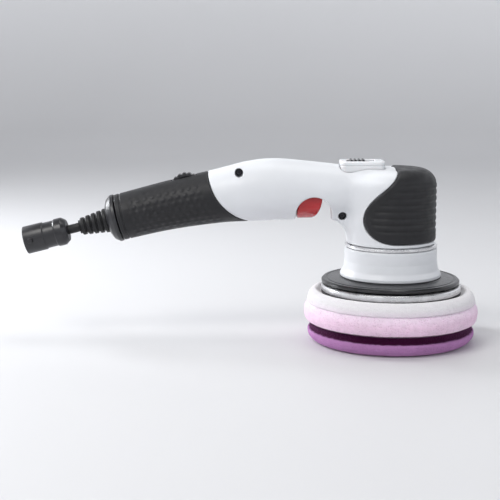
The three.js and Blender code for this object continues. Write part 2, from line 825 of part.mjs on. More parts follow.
function tailCap() {
  const r = tail.radius;
  return alongTail(turned([[7.2, 1], [r, 1], [r, 3.5], [r - 3, 7.5], [r - 8, 10], [7.2, 10]]));
}

function cordBoot() {
  const { flange, neck, firstRib, ribs, ribPitch, taper } = boot;
  const profile = [[cord.hole, -4], [flange, -4], [flange, 0.4], [neck, 0.4], [neck, firstRib]];
  for (let i = 0; i < ribs; i++) {
    const s = firstRib + ribPitch * i;
    const r = firstRib - taper * i;
    profile.push([r, s], [r, s + 3], [r - 2, s + 4], [r - 2, s + ribPitch - 0.1]);
  }
  const end = firstRib + ribPitch * ribs;
  profile.push([6.2, end], [cord.hole, end]);
  return alongTail(turned(profile, 12));
}

const supplyLead = () => alongTail(cylinderZ(cord.radius, cord.from, cord.to, 12));

function cordClamp() {
  const hole = solid(alongTail(cylinderZ(cord.hole, -40, 0, 12)));
  return solid(block(18, 24, -10, 10, -7, 7)).subtract(hole);
}

function inletPlug() {
  const { radius, from, to, pocket, pocketFrom, coreFrom, lugReach } = plug;
  const grip = [[9, from], [radius, from + 4], [radius, from + 10], [radius - 0.8, from + 11]];
  const collarEdge = [[radius - 0.8, from + 20], [radius, from + 21], [radius, to], [pocket, to]];
  const inside = [[pocket, coreFrom], [cord.hole, coreFrom]];
  const sleeve = turned([[cord.hole, from], ...grip, ...collarEdge, ...inside]);
  const floor = cylinderZ(pocket + 0.8, coreFrom, pocketFrom, sides.medium);
  const bar = solid(block(-2, 2, -lugReach, lugReach, 76, 80));
  const lugs = bar.subtract(solid(cylinderZ(radius - 2, pocketFrom, to + 6, sides.medium)));
  const body = solid(sleeve).add(solid(floor)).add(lugs);
  return body.rotate([0, -90, 0]);
}

const inletPin = (y) => alongTail(cylinderZ(pin.radius, pin.from, pin.to, sides.tiny).translate(0, y, 0));

// ---------- Assembly ----------
function material(color, roughness, metalness = 0) {
  return new THREE.MeshStandardMaterial({ color, roughness, metalness });
}

const finishes = {
  casing: material(0xd9dbdf, 0.45),
  rubber: material(0x1b1c1f, 0.8),
  plastic: material(0x222327, 0.55),
  red: material(0xb3191f, 0.35),
  bezel: material(0xe9ebee, 0.4),
  aluminium: material(0xb9bcc0, 0.35, 1),
  steel: material(0x8d9095, 0.3, 1),
  blackSteel: material(0x2e2f31, 0.4, 1),
  copper: material(0xb06a3a, 0.4, 1),
  pinkFoam: material(0xeab6dc, 0.95),
  purpleFoam: material(0x9a4f9c, 0.95),
  loop: material(0xf1ecf1, 0.95),
  board: material(0x1f5a3c, 0.6),
};

const polisher = new THREE.Group();
const padGroup = new THREE.Group();
padGroup.position.y = -orbitRadius;
const tailGroup = new THREE.Group();
tailGroup.applyMatrix4(tailFrame);
polisher.add(padGroup, tailGroup);

function place(name, shape, finish, group = polisher) {
  const geometry = shape.isBufferGeometry ? shape : geometryOf(shape);
  const mesh = new THREE.Mesh(geometry, finishes[finish]);
  mesh.name = name;
  group.add(mesh);
  return mesh;
}

const { left, right } = casingHalves();
place("shell_left", left, "casing");
place("shell_right", right, "casing");
place("palm_grip", palmGrip(), "rubber");
place("rear_grip", rearSleeve(), "rubber");
shellScrews.forEach((screw, i) => place(`shell_screw_${i + 1}`, shellScrewForm(screw), "blackSteel"));

place("neck_collar", neckCollar(), "casing");
place("skirt", skirtRing(), "rubber");
place("bearing_carrier", bearingCarrier(), "aluminium");
neckScrewPlaces().forEach(([x, y], i) => {
  place(`neck_screw_${i + 1}`, neckScrew(), "steel").position.set(x, y, 0);
});

place("motor_can", motorCan(), "aluminium");
place("stator_core", statorCore(), "steel");
place("stator_windings", statorWindings(), "copper");
place("rotor_core", rotorCore(), "steel");
place("rotor_magnets", rotorMagnets(), "steel");
place("motor_shaft", motorShaft(), "steel");
place("cooling_fan", coolingFan(), "plastic");
place("eccentric_hub", eccentricHub(), "aluminium");
place("counterweight", counterweight(), "steel");

const bearings = [
  ["upper_bearing", bearing(upperBearing), polisher],
  ["lower_bearing", bearing(lowerBearing), polisher],
  ["pad_bearing", bearing(padBearing), padGroup],
];
for (const [name, parts, group] of bearings) {
  place(`${name}_outer`, parts.outer, "steel", group);
  place(`${name}_inner`, parts.inner, "steel", group);
  place(`${name}_balls`, parts.caged, "steel", group);
}

place("pad_spindle", padSpindle(), "steel", padGroup);
place("plate_bolt", plateBolt(), "steel", padGroup);
place("backing_plate", backingPlate(), "aluminium", padGroup);
place("plate_cushion", padLayer(cushion.radius, loop.top + fit, cushion.top), "rubber", padGroup);
place("loop_disc", padLayer(loop.radius, foam.bodyTop + fit, loop.top), "loop", padGroup);
place("foam_body", foamBody(), "pinkFoam", padGroup);
place("foam_face", foamFace(), "purpleFoam", padGroup);

place("trigger", triggerLever(), "red");
place("trigger_pin", triggerPin(), "steel");
place("trigger_spring", triggerSpring(), "steel");
place("trigger_module", triggerModule(), "plastic");
place("switch_bezel", switchBezel(), "bezel");
place("power_slider", powerSlider(), "plastic");
place("power_switch", powerSwitch(), "plastic");
place("speed_dial", speedDial(), "plastic");
place("dial_sensor", dialSensor(), "plastic");

place("controller_board", controllerBoard(), "board");
place("heat_sink", heatSink(), "aluminium");
place("filter_capacitor", filterCapacitor(), "plastic");
place("motor_cable", motorCable(), "rubber");

place("tail_cap", tailCap(), "plastic", tailGroup);
place("cord_boot", cordBoot(), "rubber", tailGroup);
place("supply_lead", supplyLead(), "rubber", tailGroup);
place("cord_clamp", cordClamp(), "plastic", tailGroup);
place("inlet_plug", inletPlug(), "plastic", tailGroup);
place("inlet_pin_1", inletPin(-pin.offset), "steel", tailGroup);
place("inlet_pin_2", inletPin(pin.offset), "steel", tailGroup);

export default polisher;
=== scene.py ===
"""Looks of a random orbital polisher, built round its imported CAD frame.

Shapes are worked out in millimetres in the frame's own axes and become metres when a mesh is made.
Moulded pieces come from distance fields, round pieces from turned outlines, foam from turned outlines
with a relief. Every finish is a procedural material.
"""
import json
import math

import bmesh
import bpy
import numpy as np
from mathutils import Matrix, Vector, noise


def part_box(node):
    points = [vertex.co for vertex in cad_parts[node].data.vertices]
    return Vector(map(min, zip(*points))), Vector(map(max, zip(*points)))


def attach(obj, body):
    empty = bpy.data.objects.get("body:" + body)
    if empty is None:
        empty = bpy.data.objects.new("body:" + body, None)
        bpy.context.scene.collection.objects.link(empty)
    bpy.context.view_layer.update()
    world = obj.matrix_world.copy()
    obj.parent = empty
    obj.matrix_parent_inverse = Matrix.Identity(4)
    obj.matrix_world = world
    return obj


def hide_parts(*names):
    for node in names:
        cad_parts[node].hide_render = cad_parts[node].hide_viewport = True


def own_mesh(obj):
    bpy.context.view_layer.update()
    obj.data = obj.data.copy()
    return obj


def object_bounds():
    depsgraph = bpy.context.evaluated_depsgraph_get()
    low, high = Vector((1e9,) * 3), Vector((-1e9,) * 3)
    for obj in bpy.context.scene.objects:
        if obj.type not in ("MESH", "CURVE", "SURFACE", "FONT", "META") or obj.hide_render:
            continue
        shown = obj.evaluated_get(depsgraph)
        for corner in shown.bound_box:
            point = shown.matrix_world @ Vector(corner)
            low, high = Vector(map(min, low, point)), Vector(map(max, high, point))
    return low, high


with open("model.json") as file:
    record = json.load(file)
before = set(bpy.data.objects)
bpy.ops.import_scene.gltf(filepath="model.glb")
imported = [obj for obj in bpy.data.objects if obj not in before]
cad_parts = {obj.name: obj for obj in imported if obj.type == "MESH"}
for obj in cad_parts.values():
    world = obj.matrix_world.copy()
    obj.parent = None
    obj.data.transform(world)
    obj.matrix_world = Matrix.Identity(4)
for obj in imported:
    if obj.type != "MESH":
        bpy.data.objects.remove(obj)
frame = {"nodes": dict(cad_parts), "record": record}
cad_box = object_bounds()

METRE = 0.001  # one millimetre in metres
BODY_OF = {n: b for b, nodes in frame["record"]["behaviour"]["bodies"].items() for n in nodes}
SLOT_OF = {s["node"]: s["material_slot"] for s in frame["record"]["subparts"]}


def span(node):
    """Lowest and highest corner of a CAD node, in millimetres."""
    low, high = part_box(node)
    return np.array(low) / METRE, np.array(high) / METRE


def middle_of(node):
    """Centre of a CAD node's box, in millimetres."""
    low, high = span(node)
    return (low + high) / 2


def round_span(node):
    """Radius of a CAD node about its upright axis, then its lowest and highest level."""
    low, high = span(node)
    return high[0], low[2], high[2]


# ---------------------------------------------------------------- Driving sizes
PAD_Y = middle_of("foam_body")[1]  # the pad's own axis stands off the motor axis
HEAD_BOTTOM = span("shell_right")[0][2]
HEAD_RADIUS = -span("shell_right")[0][1]
HEAD_TOP = 148.0
HEAD_DOME = 14.0
WALL = 2.8
GAP = 0.3
ALONG_Y = Matrix.Rotation(math.radians(-90), 4, "X")  # turns a shape that stands along +Z to lie along +Y
SLEEVE = 2.2  # thickness of the rubber over the rear of the handle
PALM_SEAT = 1.7  # how far the casing is set back under the palm grip

# Stations along the handle: x, centre height, radius.
HANDLE = [
    (12, 127, 17),
    (-8, 128, 19),
    (-30, 128.5, 21.5),
    (-60, 129.5, 24),
    (-100, 130.5, 26.5),
    (-125, 128.7, 25.7),
    (-148, 125, 23.5),
    (-190, 117, 21.5),
    (-234, 106.2, 20.5),
    (-256, 100.5, 20),
    (-280, 94, 19),
]

# Arcs seen from the side, as centre x, centre z and radius.
SLEEVE_EDGE = (-106, 153, 52)  # where the rear sleeve starts
OPENING = (-67.4, 110.6, 15.4)  # over the trigger

# End of the casing and the way the tail runs on from it.
TAIL = Vector((-234, 0, 106.2))
TAIL_WAY = Vector((-math.cos(math.radians(14)), 0, -math.sin(math.radians(14))))
TAIL_RADIUS = 20.5

SLIDE_FLOOR = 150.5  # bottom of the recess that the power slider runs in

# Casing screws: x, z and the y of the seat under each head.
SHELL_SCREWS = [(-131, 146, -9), (-151, 112, -9), (-43, 109, -7), (24, 141, -9), (-196, 121.5, -8)]


# ---------------------------------------------------------------- Curves and outlines
def catmull(points, count=160):
    """Smooth curve through points, as an array of samples."""
    points = np.array(points, float)
    ends = np.vstack([2 * points[0] - points[1], points, 2 * points[-1] - points[-2]])
    samples = []
    for p0, p1, p2, p3 in zip(ends, ends[1:], ends[2:], ends[3:]):
        for t in np.linspace(0, 1, count // len(points), endpoint=False):
            curve = 2 * p1 + (p2 - p0) * t
            curve += (2 * p0 - 5 * p1 + 4 * p2 - p3) * t**2 + (3 * p1 - p0 - 3 * p2 + p3) * t**3
            samples.append(curve / 2)
    return np.array(samples + [points[-1]])


def bezier(a, b, c, d, count=12):
    """Points of a cubic curve, without its first point."""
    t = np.linspace(0, 1, count + 1)[1:, None]
    a, b, c, d = (np.array(p, float) for p in (a, b, c, d))
    curve = a * (1 - t) ** 3 + 3 * b * t * (1 - t) ** 2 + 3 * c * t**2 * (1 - t) + d * t**3
    return [tuple(p) for p in curve]


def arc(centre, radius, start, end, count=12):
    """Points of a circular arc between two angles in degrees."""
    angles = np.radians(np.linspace(start, end, count + 1))
    return [(centre[0] + radius * math.cos(a), centre[1] + radius * math.sin(a)) for a in angles]


def polar(radius, degrees):
    """Point on a circle at an angle."""
    return radius * math.cos(math.radians(degrees)), radius * math.sin(math.radians(degrees))


def round_of(count, radius):
    """Points spaced evenly round a circle."""
    angles = [2 * math.pi * i / count for i in range(count)]
    return [(radius * math.cos(a), radius * math.sin(a)) for a in angles]


def rounded(points, steps=4):
    """An outline of (x, y, corner radius) points, with its corners rounded."""
    result = []
    count = len(points)
    for i, (x, y, radius) in enumerate(points):
        here = np.array([x, y], float)
        if not radius:
            result.append(here)
            continue
        before = np.array(points[i - 1][:2], float) - here
        after = np.array(points[(i + 1) % count][:2], float) - here
        reach_before, reach_after = np.linalg.norm(before), np.linalg.norm(after)
        before, after = before / reach_before, after / reach_after
        half = math.acos(max(-1, min(1, float(before @ after)))) / 2
        reach = min(radius / math.tan(half), 0.49 * reach_before, 0.49 * reach_after)
        start, end = here + before * reach, here + after * reach
        for t in np.linspace(0, 1, steps + 1):
            result.append(start * (1 - t) ** 2 + 2 * here * t * (1 - t) + end * t**2)
    return result


# ---------------------------------------------------------------- Distance fields, negative inside
def smooth_min(a, b, k):
    """The smaller of two distances, blended over a width k."""
    return np.minimum(a, b) - np.maximum(k - np.abs(a - b), 0) ** 2 / (4 * k)


def smooth_max(a, b, k):
    return -smooth_min(-a, -b, k)


def carve(shape, tool, k):
    """A shape with a tool cut out of it, its edges rounded by k."""
    return smooth_max(shape, -tool, k)


def between(value, low, high):
    """Negative between two values."""
    return np.abs(value - (low + high) / 2) - (high - low) / 2


def outline_field(points, x, z):
    """Signed distance from (x, z) to a closed outline."""
    x, z = np.asarray(x, float), np.asarray(z, float)
    shape = np.broadcast(x, z).shape
    nearest = np.full(shape, 1e9)
    inside = np.zeros(shape, bool)
    for (x0, z0), (x1, z1) in zip(points, points[1:] + points[:1]):
        edge_x, edge_z = x1 - x0, z1 - z0
        along = ((x - x0) * edge_x + (z - z0) * edge_z) / max(edge_x**2 + edge_z**2, 1e-12)
        along = np.clip(along, 0, 1)
        nearest = np.minimum(nearest, (x - x0 - edge_x * along) ** 2 + (z - z0 - edge_z * along) ** 2)
        if edge_z:
            crosses = ((z0 <= z) != (z1 <= z)) & (x < x0 + (z - z0) * edge_x / edge_z)
            inside ^= crosses
    return np.where(inside, -1.0, 1.0) * np.sqrt(nearest)


def box_field(x, y, z, low, high, radius=0.0):
    """Box with rounded edges."""
    offsets = [between(value, lo, hi) + radius for value, lo, hi in zip((x, y, z), low, high)]
    outside = np.sqrt(sum(np.maximum(o, 0) ** 2 for o in offsets))
    inside = np.minimum(np.maximum(np.maximum(offsets[0], offsets[1]), offsets[2]), 0)
    return outside + inside - radius


HANDLE_CURVE = catmull(HANDLE)[::-1]


def handle_field(x, y, z):
    """Round section whose centre and radius follow the handle's stations."""
    centre = np.interp(x, HANDLE_CURVE[:, 0], HANDLE_CURVE[:, 1])
    radius = np.interp(x, HANDLE_CURVE[:, 0], HANDLE_CURVE[:, 2])
    slope = np.interp(x, HANDLE_CURVE[:, 0], np.gradient(HANDLE_CURVE[:, 1], HANDLE_CURVE[:, 0]))
    round_part = (np.hypot(y, z - centre) - radius) / np.sqrt(1 + slope**2)
    return np.maximum(round_part, x - 5)


def head_field(x, y, z):
    """Upright cylinder with a rounded top edge."""
    out = np.hypot(x, y) - (HEAD_RADIUS - HEAD_DOME)
    up = z - (HEAD_TOP - HEAD_DOME)
    return np.hypot(np.maximum(out, 0), np.maximum(up, 0)) + np.minimum(np.maximum(out, up), 0) - HEAD_DOME


def web_field(x, y, z):
    """Web under the handle, between the head and the trigger opening."""
    edge = [(-30, 86), (-37, 87)] + bezier((-37, 87), (-40, 98), (-45, 106), (-57, 106.2))
    return smooth_max(outline_field(edge + [(-57, 116), (-30, 116)], x, z), np.abs(y) - 13, 4)


def body_field(x, y, z):
    """The whole casing with its grips, as one rounded form."""
    form = smooth_min(head_field(x, y, z), handle_field(x, y, z), 9)
    return smooth_min(form, web_field(x, y, z), 5)


def sleeve_region(x, z):
    """Negative behind the arc where the rear sleeve starts."""
    centre_x, centre_z, radius = SLEEVE_EDGE
    return np.maximum(radius - np.hypot(x - centre_x, z - centre_z), x + 100)


def palm_region(x, z):
    """Negative inside the palm grip's outline, seen from the side."""
    edge = [(3, 156)] + bezier((3, 152), (3, 136), (-25, 128), (-26, 108), 16)
    edge += bezier((-26, 108), (-26.5, 96), (-16, 87.4), (2, 87.4), 12)
    return outline_field(edge + [(60, 87.4), (60, 156)], x, z)


def arch_region(x, z):
    """Negative inside the trigger opening, an arch that is open below."""
    centre_x, centre_z, radius = OPENING
    edge = arc((centre_x, centre_z), radius, 0, 180, 24)
    return outline_field([(centre_x + radius, 80)] + edge + [(centre_x - radius, 80)], x, z)


def tail_plane(x, z):
    """Distance beyond the end of the casing."""
    return (x - TAIL.x) * TAIL_WAY.x + (z - TAIL.z) * TAIL_WAY.z


def dial_slot(x, y, z):
    """Room for the speed dial, open at the top of the handle."""
    low, high = span("speed_dial")
    centre_x, _, centre_z = middle_of("speed_dial")
    radius = (high[0] - low[0]) / 2 + 0.8
    return np.maximum(np.hypot(x - centre_x, z - centre_z) - radius, np.maximum(np.abs(y) - 4.7, 126 - z))


# ---------------------------------------------------------------- Meshes
def surface(field, low, high, step):
    """Points and four-sided faces where the field is zero, from one point in each grid cell it crosses."""
    axes = [np.arange(lo - 1.5 * step, hi + 2.5 * step, step) for lo, hi in zip(low, high)]
    x, y, z = np.meshgrid(*axes, indexing="ij", sparse=True)
    value = np.broadcast_to(field(x, y, z), tuple(len(a) for a in axes))
    inside = value < 0
    corners = [(i, j, k) for i in (0, 1) for j in (0, 1) for k in (0, 1)]
    size = [n - 1 for n in value.shape]

    def shifted(array, corner):
        return array[tuple(slice(c, c + n) for c, n in zip(corner, size))]

    filled = sum(shifted(inside, c).astype(np.int8) for c in corners)
    cells = np.argwhere((filled > 0) & (filled < 8))
    total, count = np.zeros((len(cells), 3)), np.zeros((len(cells), 1))
    for a in corners:
        for axis in range(3):
            if a[axis]:
                continue
            b = tuple(1 if i == axis else c for i, c in enumerate(a))
            value_a, value_b = (value[tuple((cells + c).T)] for c in (a, b))
            crossed = (value_a < 0) != (value_b < 0)
            share = np.where(crossed, value_a / np.where(crossed, value_a - value_b, 1), 0)
            point = np.array(a, float) + share[:, None] * (np.array(b) - np.array(a))
            total += point * crossed[:, None]
            count += crossed[:, None]
    origin = np.array([a[0] for a in axes])
    points = origin + (cells + total / count) * step
    number = np.full(size, -1)
    number[tuple(cells.T)] = np.arange(len(cells))
    faces = []
    for axis in range(3):
        side_a, side_b = (axis + 1) % 3, (axis + 2) % 3
        near = [slice(1, -1)] * 3
        near[axis] = slice(0, -1)
        far = list(near)
        far[axis] = slice(1, None)
        leaving = np.argwhere(inside[tuple(near)] != inside[tuple(far)])
        leaving += [0 if i == axis else 1 for i in range(3)]
        ring = []
        for da, db in ((0, 0), (-1, 0), (-1, -1), (0, -1)):
            cell = leaving.copy()
            cell[:, side_a] += da
            cell[:, side_b] += db
            ring.append(number[tuple(cell.T)])
        quads = np.stack(ring, 1)
        outward = inside[tuple(leaving.T)]
        quads[~outward] = quads[~outward][:, ::-1]
        faces.append(quads)
    for _ in range(2):
        points = settle(field, points, step)
    return points, np.vstack(faces)


def settle(field, points, step):
    """Moves points onto the field's zero surface, by at most half a step."""
    tiny = 0.05
    here = field(*points.T)
    slope = np.stack([field(*(points + tiny * np.eye(3)[i]).T) - here for i in range(3)], 1) / tiny
    move = -here[:, None] * slope / np.maximum((slope**2).sum(1, keepdims=True), 0.2)
    length = np.linalg.norm(move, axis=1, keepdims=True)
    return points + move * np.minimum(1, 0.5 * step / np.maximum(length, 1e-9))


def mesh_of(name, points, faces, sharp=40):
    """A mesh from points in millimetres and an array of equal-sided faces."""
    mesh = bpy.data.meshes.new(name)
    points, faces = np.asarray(points, float) * METRE, np.asarray(faces)
    mesh.vertices.add(len(points))
    mesh.vertices.foreach_set("co", points.ravel())
    mesh.loops.add(faces.size)
    mesh.loops.foreach_set("vertex_index", faces.ravel().astype(np.int32))
    mesh.polygons.add(len(faces))
    mesh.polygons.foreach_set("loop_start", np.arange(0, faces.size, faces.shape[1], dtype=np.int32))
    mesh.update(calc_edges=True)
    mesh.validate()
    shade(mesh, sharp)
    return mesh


def shade(mesh, sharp=40):
    mesh.shade_smooth()
    mesh.set_sharp_from_angle(angle=math.radians(sharp))


def object_of(name, mesh):
    piece = bpy.data.objects.new(name, mesh)
    bpy.context.scene.collection.objects.link(piece)
    return piece


def stand_for(piece, *nodes):
    """The piece takes its body, slot and finish from the CAD nodes it stands for."""
    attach(piece, BODY_OF[nodes[0]])
    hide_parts(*nodes)
    piece.data.materials.clear()
    piece.data.materials.append(material(SLOT_OF[nodes[0]]))
    return piece


def moulded(node, field, step, margin=0.5, box=None, place=None):
    """A piece whose surface is a distance field's, in place of a CAD node."""
    low, high = box or span(node)
    step *= 1
    points, faces = surface(field, np.array(low) - margin, np.array(high) + margin, step)
    mesh = mesh_of(node + "_fine", points, faces)
    if place is not None:
        mesh.transform(place)
    return stand_for(object_of(node + "_fine", mesh), node)


def finished(made, name, place=None, sharp=None):
    """A mesh from a bmesh, moved to its place and, if an angle is given, shaded smooth up to it."""
    if place is not None:
        made.transform(place)
    mesh = bpy.data.meshes.new(name)
    made.to_mesh(mesh)
    made.free()
    if sharp:
        shade(mesh, sharp)
    return mesh


def turned_mesh(name, outline, segments=128, place=None, sharp=40):
    """A solid of revolution about Z from a closed outline of (radius, height) points."""
    outline = [(max(r, 0.0), z) for r, z in outline]
    made = bmesh.new()
    rings = []
    for r, z in outline:
        if r < 1e-6:
            rings.append([made.verts.new((0, 0, z * METRE))] * segments)
            continue
        ring = []
        for k in range(segments):
            angle = 2 * math.pi * k / segments
            ring.append(made.verts.new((r * math.cos(angle) * METRE, r * math.sin(angle) * METRE, z * METRE)))
        rings.append(ring)
    for low, high in zip(rings, rings[1:] + rings[:1]):
        for k in range(segments):
            corners = [low[k], low[(k + 1) % segments], high[(k + 1) % segments], high[k]]
            corners = list(dict.fromkeys(corners))
            if len(corners) > 2:
                made.faces.new(corners)
    bmesh.ops.recalc_face_normals(made, faces=made.faces)
    return finished(made, name, place, sharp)


def turned(node, corners, segments=128, place=None, sharp=40):
    """A turned piece from (radius, height, corner radius) points, in place of a CAD node."""
    mesh = turned_mesh(node + "_fine", rounded(corners), segments, place, sharp)
    return stand_for(object_of(node + "_fine", mesh), node)


def prism(outline, low, high, place=None, bevel=0.0):
    """A block with an outline in its own XY plane, from one height to another, its edges bevelled."""
    made = bmesh.new()
    rings = [[made.verts.new((x * METRE, y * METRE, z * METRE)) for x, y in outline] for z in (low, high)]
    made.faces.new(rings[0])
    made.faces.new(rings[1])
    count = len(outline)
    for k in range(count):
        after = (k + 1) % count
        made.faces.new((rings[0][k], rings[0][after], rings[1][after], rings[1][k]))
    bmesh.ops.recalc_face_normals(made, faces=made.faces)
    if bevel:
        edges = [e for e in made.edges if e.calc_face_angle(0) > math.radians(35)]
        settings = {"offset": bevel * METRE, "segments": 2, "profile": 0.5, "affect": "EDGES"}
        bmesh.ops.bevel(made, geom=edges, clamp_overlap=True, **settings)
    return finished(made, "prism", place)


def block(low, high, bevel=0.3, corner=0.0):
    """A box between two corners with bevelled edges and, if asked, rounded upright corners."""
    (x0, y0, z0), (x1, y1, z1) = low, high
    outline = [(x0, y0, corner), (x1, y0, corner), (x1, y1, corner), (x0, y1, corner)]
    return prism(rounded(outline), z0, z1, None, bevel)


def wire_mesh(points, radius, closed=False, sides=8):
    """A round wire along points in millimetres, with capped ends."""
    curve = bpy.data.curves.new("wire", "CURVE")
    curve.dimensions = "3D"
    curve.bevel_depth = radius * METRE
    curve.bevel_resolution = sides // 4
    curve.use_fill_caps = not closed
    line = curve.splines.new("POLY")
    line.points.add(len(points) - 1)
    weighted = np.hstack([np.array(points) * METRE, np.ones((len(points), 1))])
    line.points.foreach_set("co", weighted.ravel())
    line.use_cyclic_u = closed
    holder = object_of("wire", curve)
    bpy.context.view_layer.update()
    mesh = bpy.data.meshes.new_from_object(holder.evaluated_get(bpy.context.evaluated_depsgraph_get()))
    bpy.data.objects.remove(holder)
    return mesh


def joined(node, meshes, sharp=35):
    """Several meshes as one piece in place of a CAD node."""
    made = bmesh.new()
    for mesh in meshes:
        made.from_mesh(mesh)
    return stand_for(object_of(node + "_fine", finished(made, node + "_fine", None, sharp)), node)


def cut_away(piece, *cutters):
    """Takes other meshes out of a piece with an exact boolean, applied."""
    for cutter in cutters:
        tool = object_of("cutter", cutter)
        modifier = piece.modifiers.new("cut", "BOOLEAN")
        modifier.object = tool
        modifier.solver = "EXACT"
        apply_modifiers(piece)
        bpy.data.objects.remove(tool)
    return piece


def apply_modifiers(piece, sharp=40):
    bpy.context.view_layer.update()
    graph = bpy.context.evaluated_depsgraph_get()
    made = bpy.data.meshes.new_from_object(piece.evaluated_get(graph))
    piece.modifiers.clear()
    piece.data = made
    shade(made, sharp)


# ---------------------------------------------------------------- Materials
class Finish:
    """A material's node tree, built a node at a time."""

    def __init__(self, name):
        self.material = bpy.data.materials.new(name)
        self.material.use_nodes = True
        self.tree = self.material.node_tree
        self.shader = self.tree.nodes["Principled BSDF"]
        self.position = self.add("ShaderNodeTexCoord").outputs["Object"]
        self.height = None

    def add(self, kind, inputs=None, **settings):
        made = self.tree.nodes.new(kind)
        for key, value in settings.items():
            setattr(made, key, value)
        for key, value in (inputs or {}).items():
            self.put(made.inputs[key], value)
        return made

    def put(self, socket, value):
        if isinstance(value, bpy.types.NodeSocket):
            self.tree.links.new(value, socket)
        elif isinstance(value, tuple) and len(value) == 3 and socket.type == "RGBA":
            socket.default_value = (*value, 1)
        else:
            socket.default_value = value

    def set(self, **inputs):
        for key, value in inputs.items():
            self.put(self.shader.inputs[key.replace("_", " ")], value)

    def noise(self, size, detail=2.0, vector=None, rough=0.5):
        """Noise from 0 to 1 whose grains measure `size` millimetres."""
        inputs = {"Vector": vector or self.position, "Scale": 1 / (size * METRE)}
        inputs |= {"Detail": detail, "Roughness": rough}
        return self.add("ShaderNodeTexNoise", inputs).outputs["Fac"]

    def varied(self, size, low, high, detail=2.0):
        """A value that drifts between two limits over patches of `size` millimetres."""
        return self.remap(self.noise(size, detail), 0.3, 0.7, low, high)

    def level(self):
        """Height of the shaded point, in metres."""
        return self.add("ShaderNodeSeparateXYZ", {0: self.position}).outputs[2]

    def mapped(self, scale, rotation=(0, 0, 0), location=(0, 0, 0)):
        """The shaded point's position, moved, turned and stretched."""
        inputs = {"Vector": self.position, "Location": location, "Rotation": rotation, "Scale": scale}
        return self.add("ShaderNodeMapping", inputs).outputs[0]

    def cells(self, size, feature="F1", vector=None):
        """Distance to the nearest of points scattered `size` millimetres apart."""
        inputs = {"Vector": vector or self.position, "Scale": 1 / (size * METRE)}
        return self.add("ShaderNodeTexVoronoi", inputs, feature=feature).outputs["Distance"]

    def math(self, operation, a, b=0.0, clamp=False):
        return self.add("ShaderNodeMath", {0: a, 1: b}, operation=operation, use_clamp=clamp).outputs[0]

    def remap(self, value, low, high, to_low=0.0, to_high=1.0):
        inputs = {"Value": value, "From Min": low, "From Max": high, "To Min": to_low, "To Max": to_high}
        return self.add("ShaderNodeMapRange", inputs).outputs[0]

    def blend(self, share, a, b):
        """A colour between two others. The mix node's sockets have no single names, so they go by number."""
        return self.add("ShaderNodeMix", {0: share, 6: a, 7: b}, data_type="RGBA").outputs[2]

    def bump(self, height, depth, strength=1.0):
        """Adds relief of `depth` millimetres on top of what is there."""
        inputs = {"Height": height, "Distance": depth * METRE, "Strength": strength}
        if self.height is not None:
            inputs["Normal"] = self.height
        self.height = self.add("ShaderNodeBump", inputs).outputs[0]
        self.set(Normal=self.height)

    def edges(self, low=0.51, high=0.58):
        """1 on convex edges, 0 elsewhere."""
        return self.remap(self.add("ShaderNodeNewGeometry").outputs["Pointiness"], low, high)

    def corners(self, reach=4.0):
        """1 where surfaces shade each other, 0 in the open."""
        inputs = {"Distance": reach * METRE}
        openness = self.add("ShaderNodeAmbientOcclusion", inputs, samples=4).outputs["AO"]
        return self.remap(openness, 0.35, 0.95, 1.0, 0.0)


def darker(color, share):
    return tuple(c * share for c in color)


def lighter(color, share):
    return tuple(c + (1 - c) * share for c in color)


def moulded_plastic(name, color, roughness, grain=0.45, depth=0.02, coat=0.0):
    """Moulded plastic: a fine spark texture, faint flow shading, rubbed edges and painted shade in the
    corners.
    """
    f = Finish(name)
    flow = f.noise(38, 3)
    base = f.blend(f.remap(flow, 0.35, 0.65), darker(color, 0.95), color)
    worn = f.math("MULTIPLY", f.edges(), f.remap(f.noise(3, 4), 0.4, 0.7), True)
    rubbed = tuple(min(1, c * 1.12 + 0.02) for c in color)
    base = f.blend(f.math("MULTIPLY", worn, 0.5), base, rubbed)
    # Painted shade: the colour darkens where surfaces shade each other.
    base = f.blend(f.math("MULTIPLY", f.corners(2.5), 0.35), base, darker(color, 0.55))
    smudge = f.varied(17, roughness - 0.05, roughness + 0.07, 4)
    f.set(Base_Color=base, Roughness=f.math("SUBTRACT", smudge, f.math("MULTIPLY", worn, 0.1)))
    f.set(Coat_Weight=coat, Coat_Roughness=0.15)
    f.bump(f.noise(grain, 2), depth)
    f.bump(f.cells(grain * 1.7), depth * 0.7)
    return f.material


def soft_rubber(name, color, roughness=0.5):
    """Soft overmoulded rubber: fine pores, a patchy bloom and polished high spots."""
    f = Finish(name)
    bloom = f.remap(f.noise(11, 5), 0.45, 0.75)
    base = f.blend(f.math("MULTIPLY", bloom, 0.3), darker(color, 0.55), color)
    rubbed = f.edges(0.505, 0.56)
    base = f.blend(f.math("MULTIPLY", rubbed, 0.35), base, tuple(c * 1.8 + 0.008 for c in color))
    smudged = f.varied(6, roughness - 0.09, roughness + 0.09, 3)
    f.set(Base_Color=base, Roughness=f.math("SUBTRACT", smudged, f.math("MULTIPLY", rubbed, 0.12)))
    f.set(Specular_IOR_Level=0.35)
    f.bump(f.noise(0.35, 3), 0.02)
    f.bump(f.cells(0.8), 0.01)
    return f.material


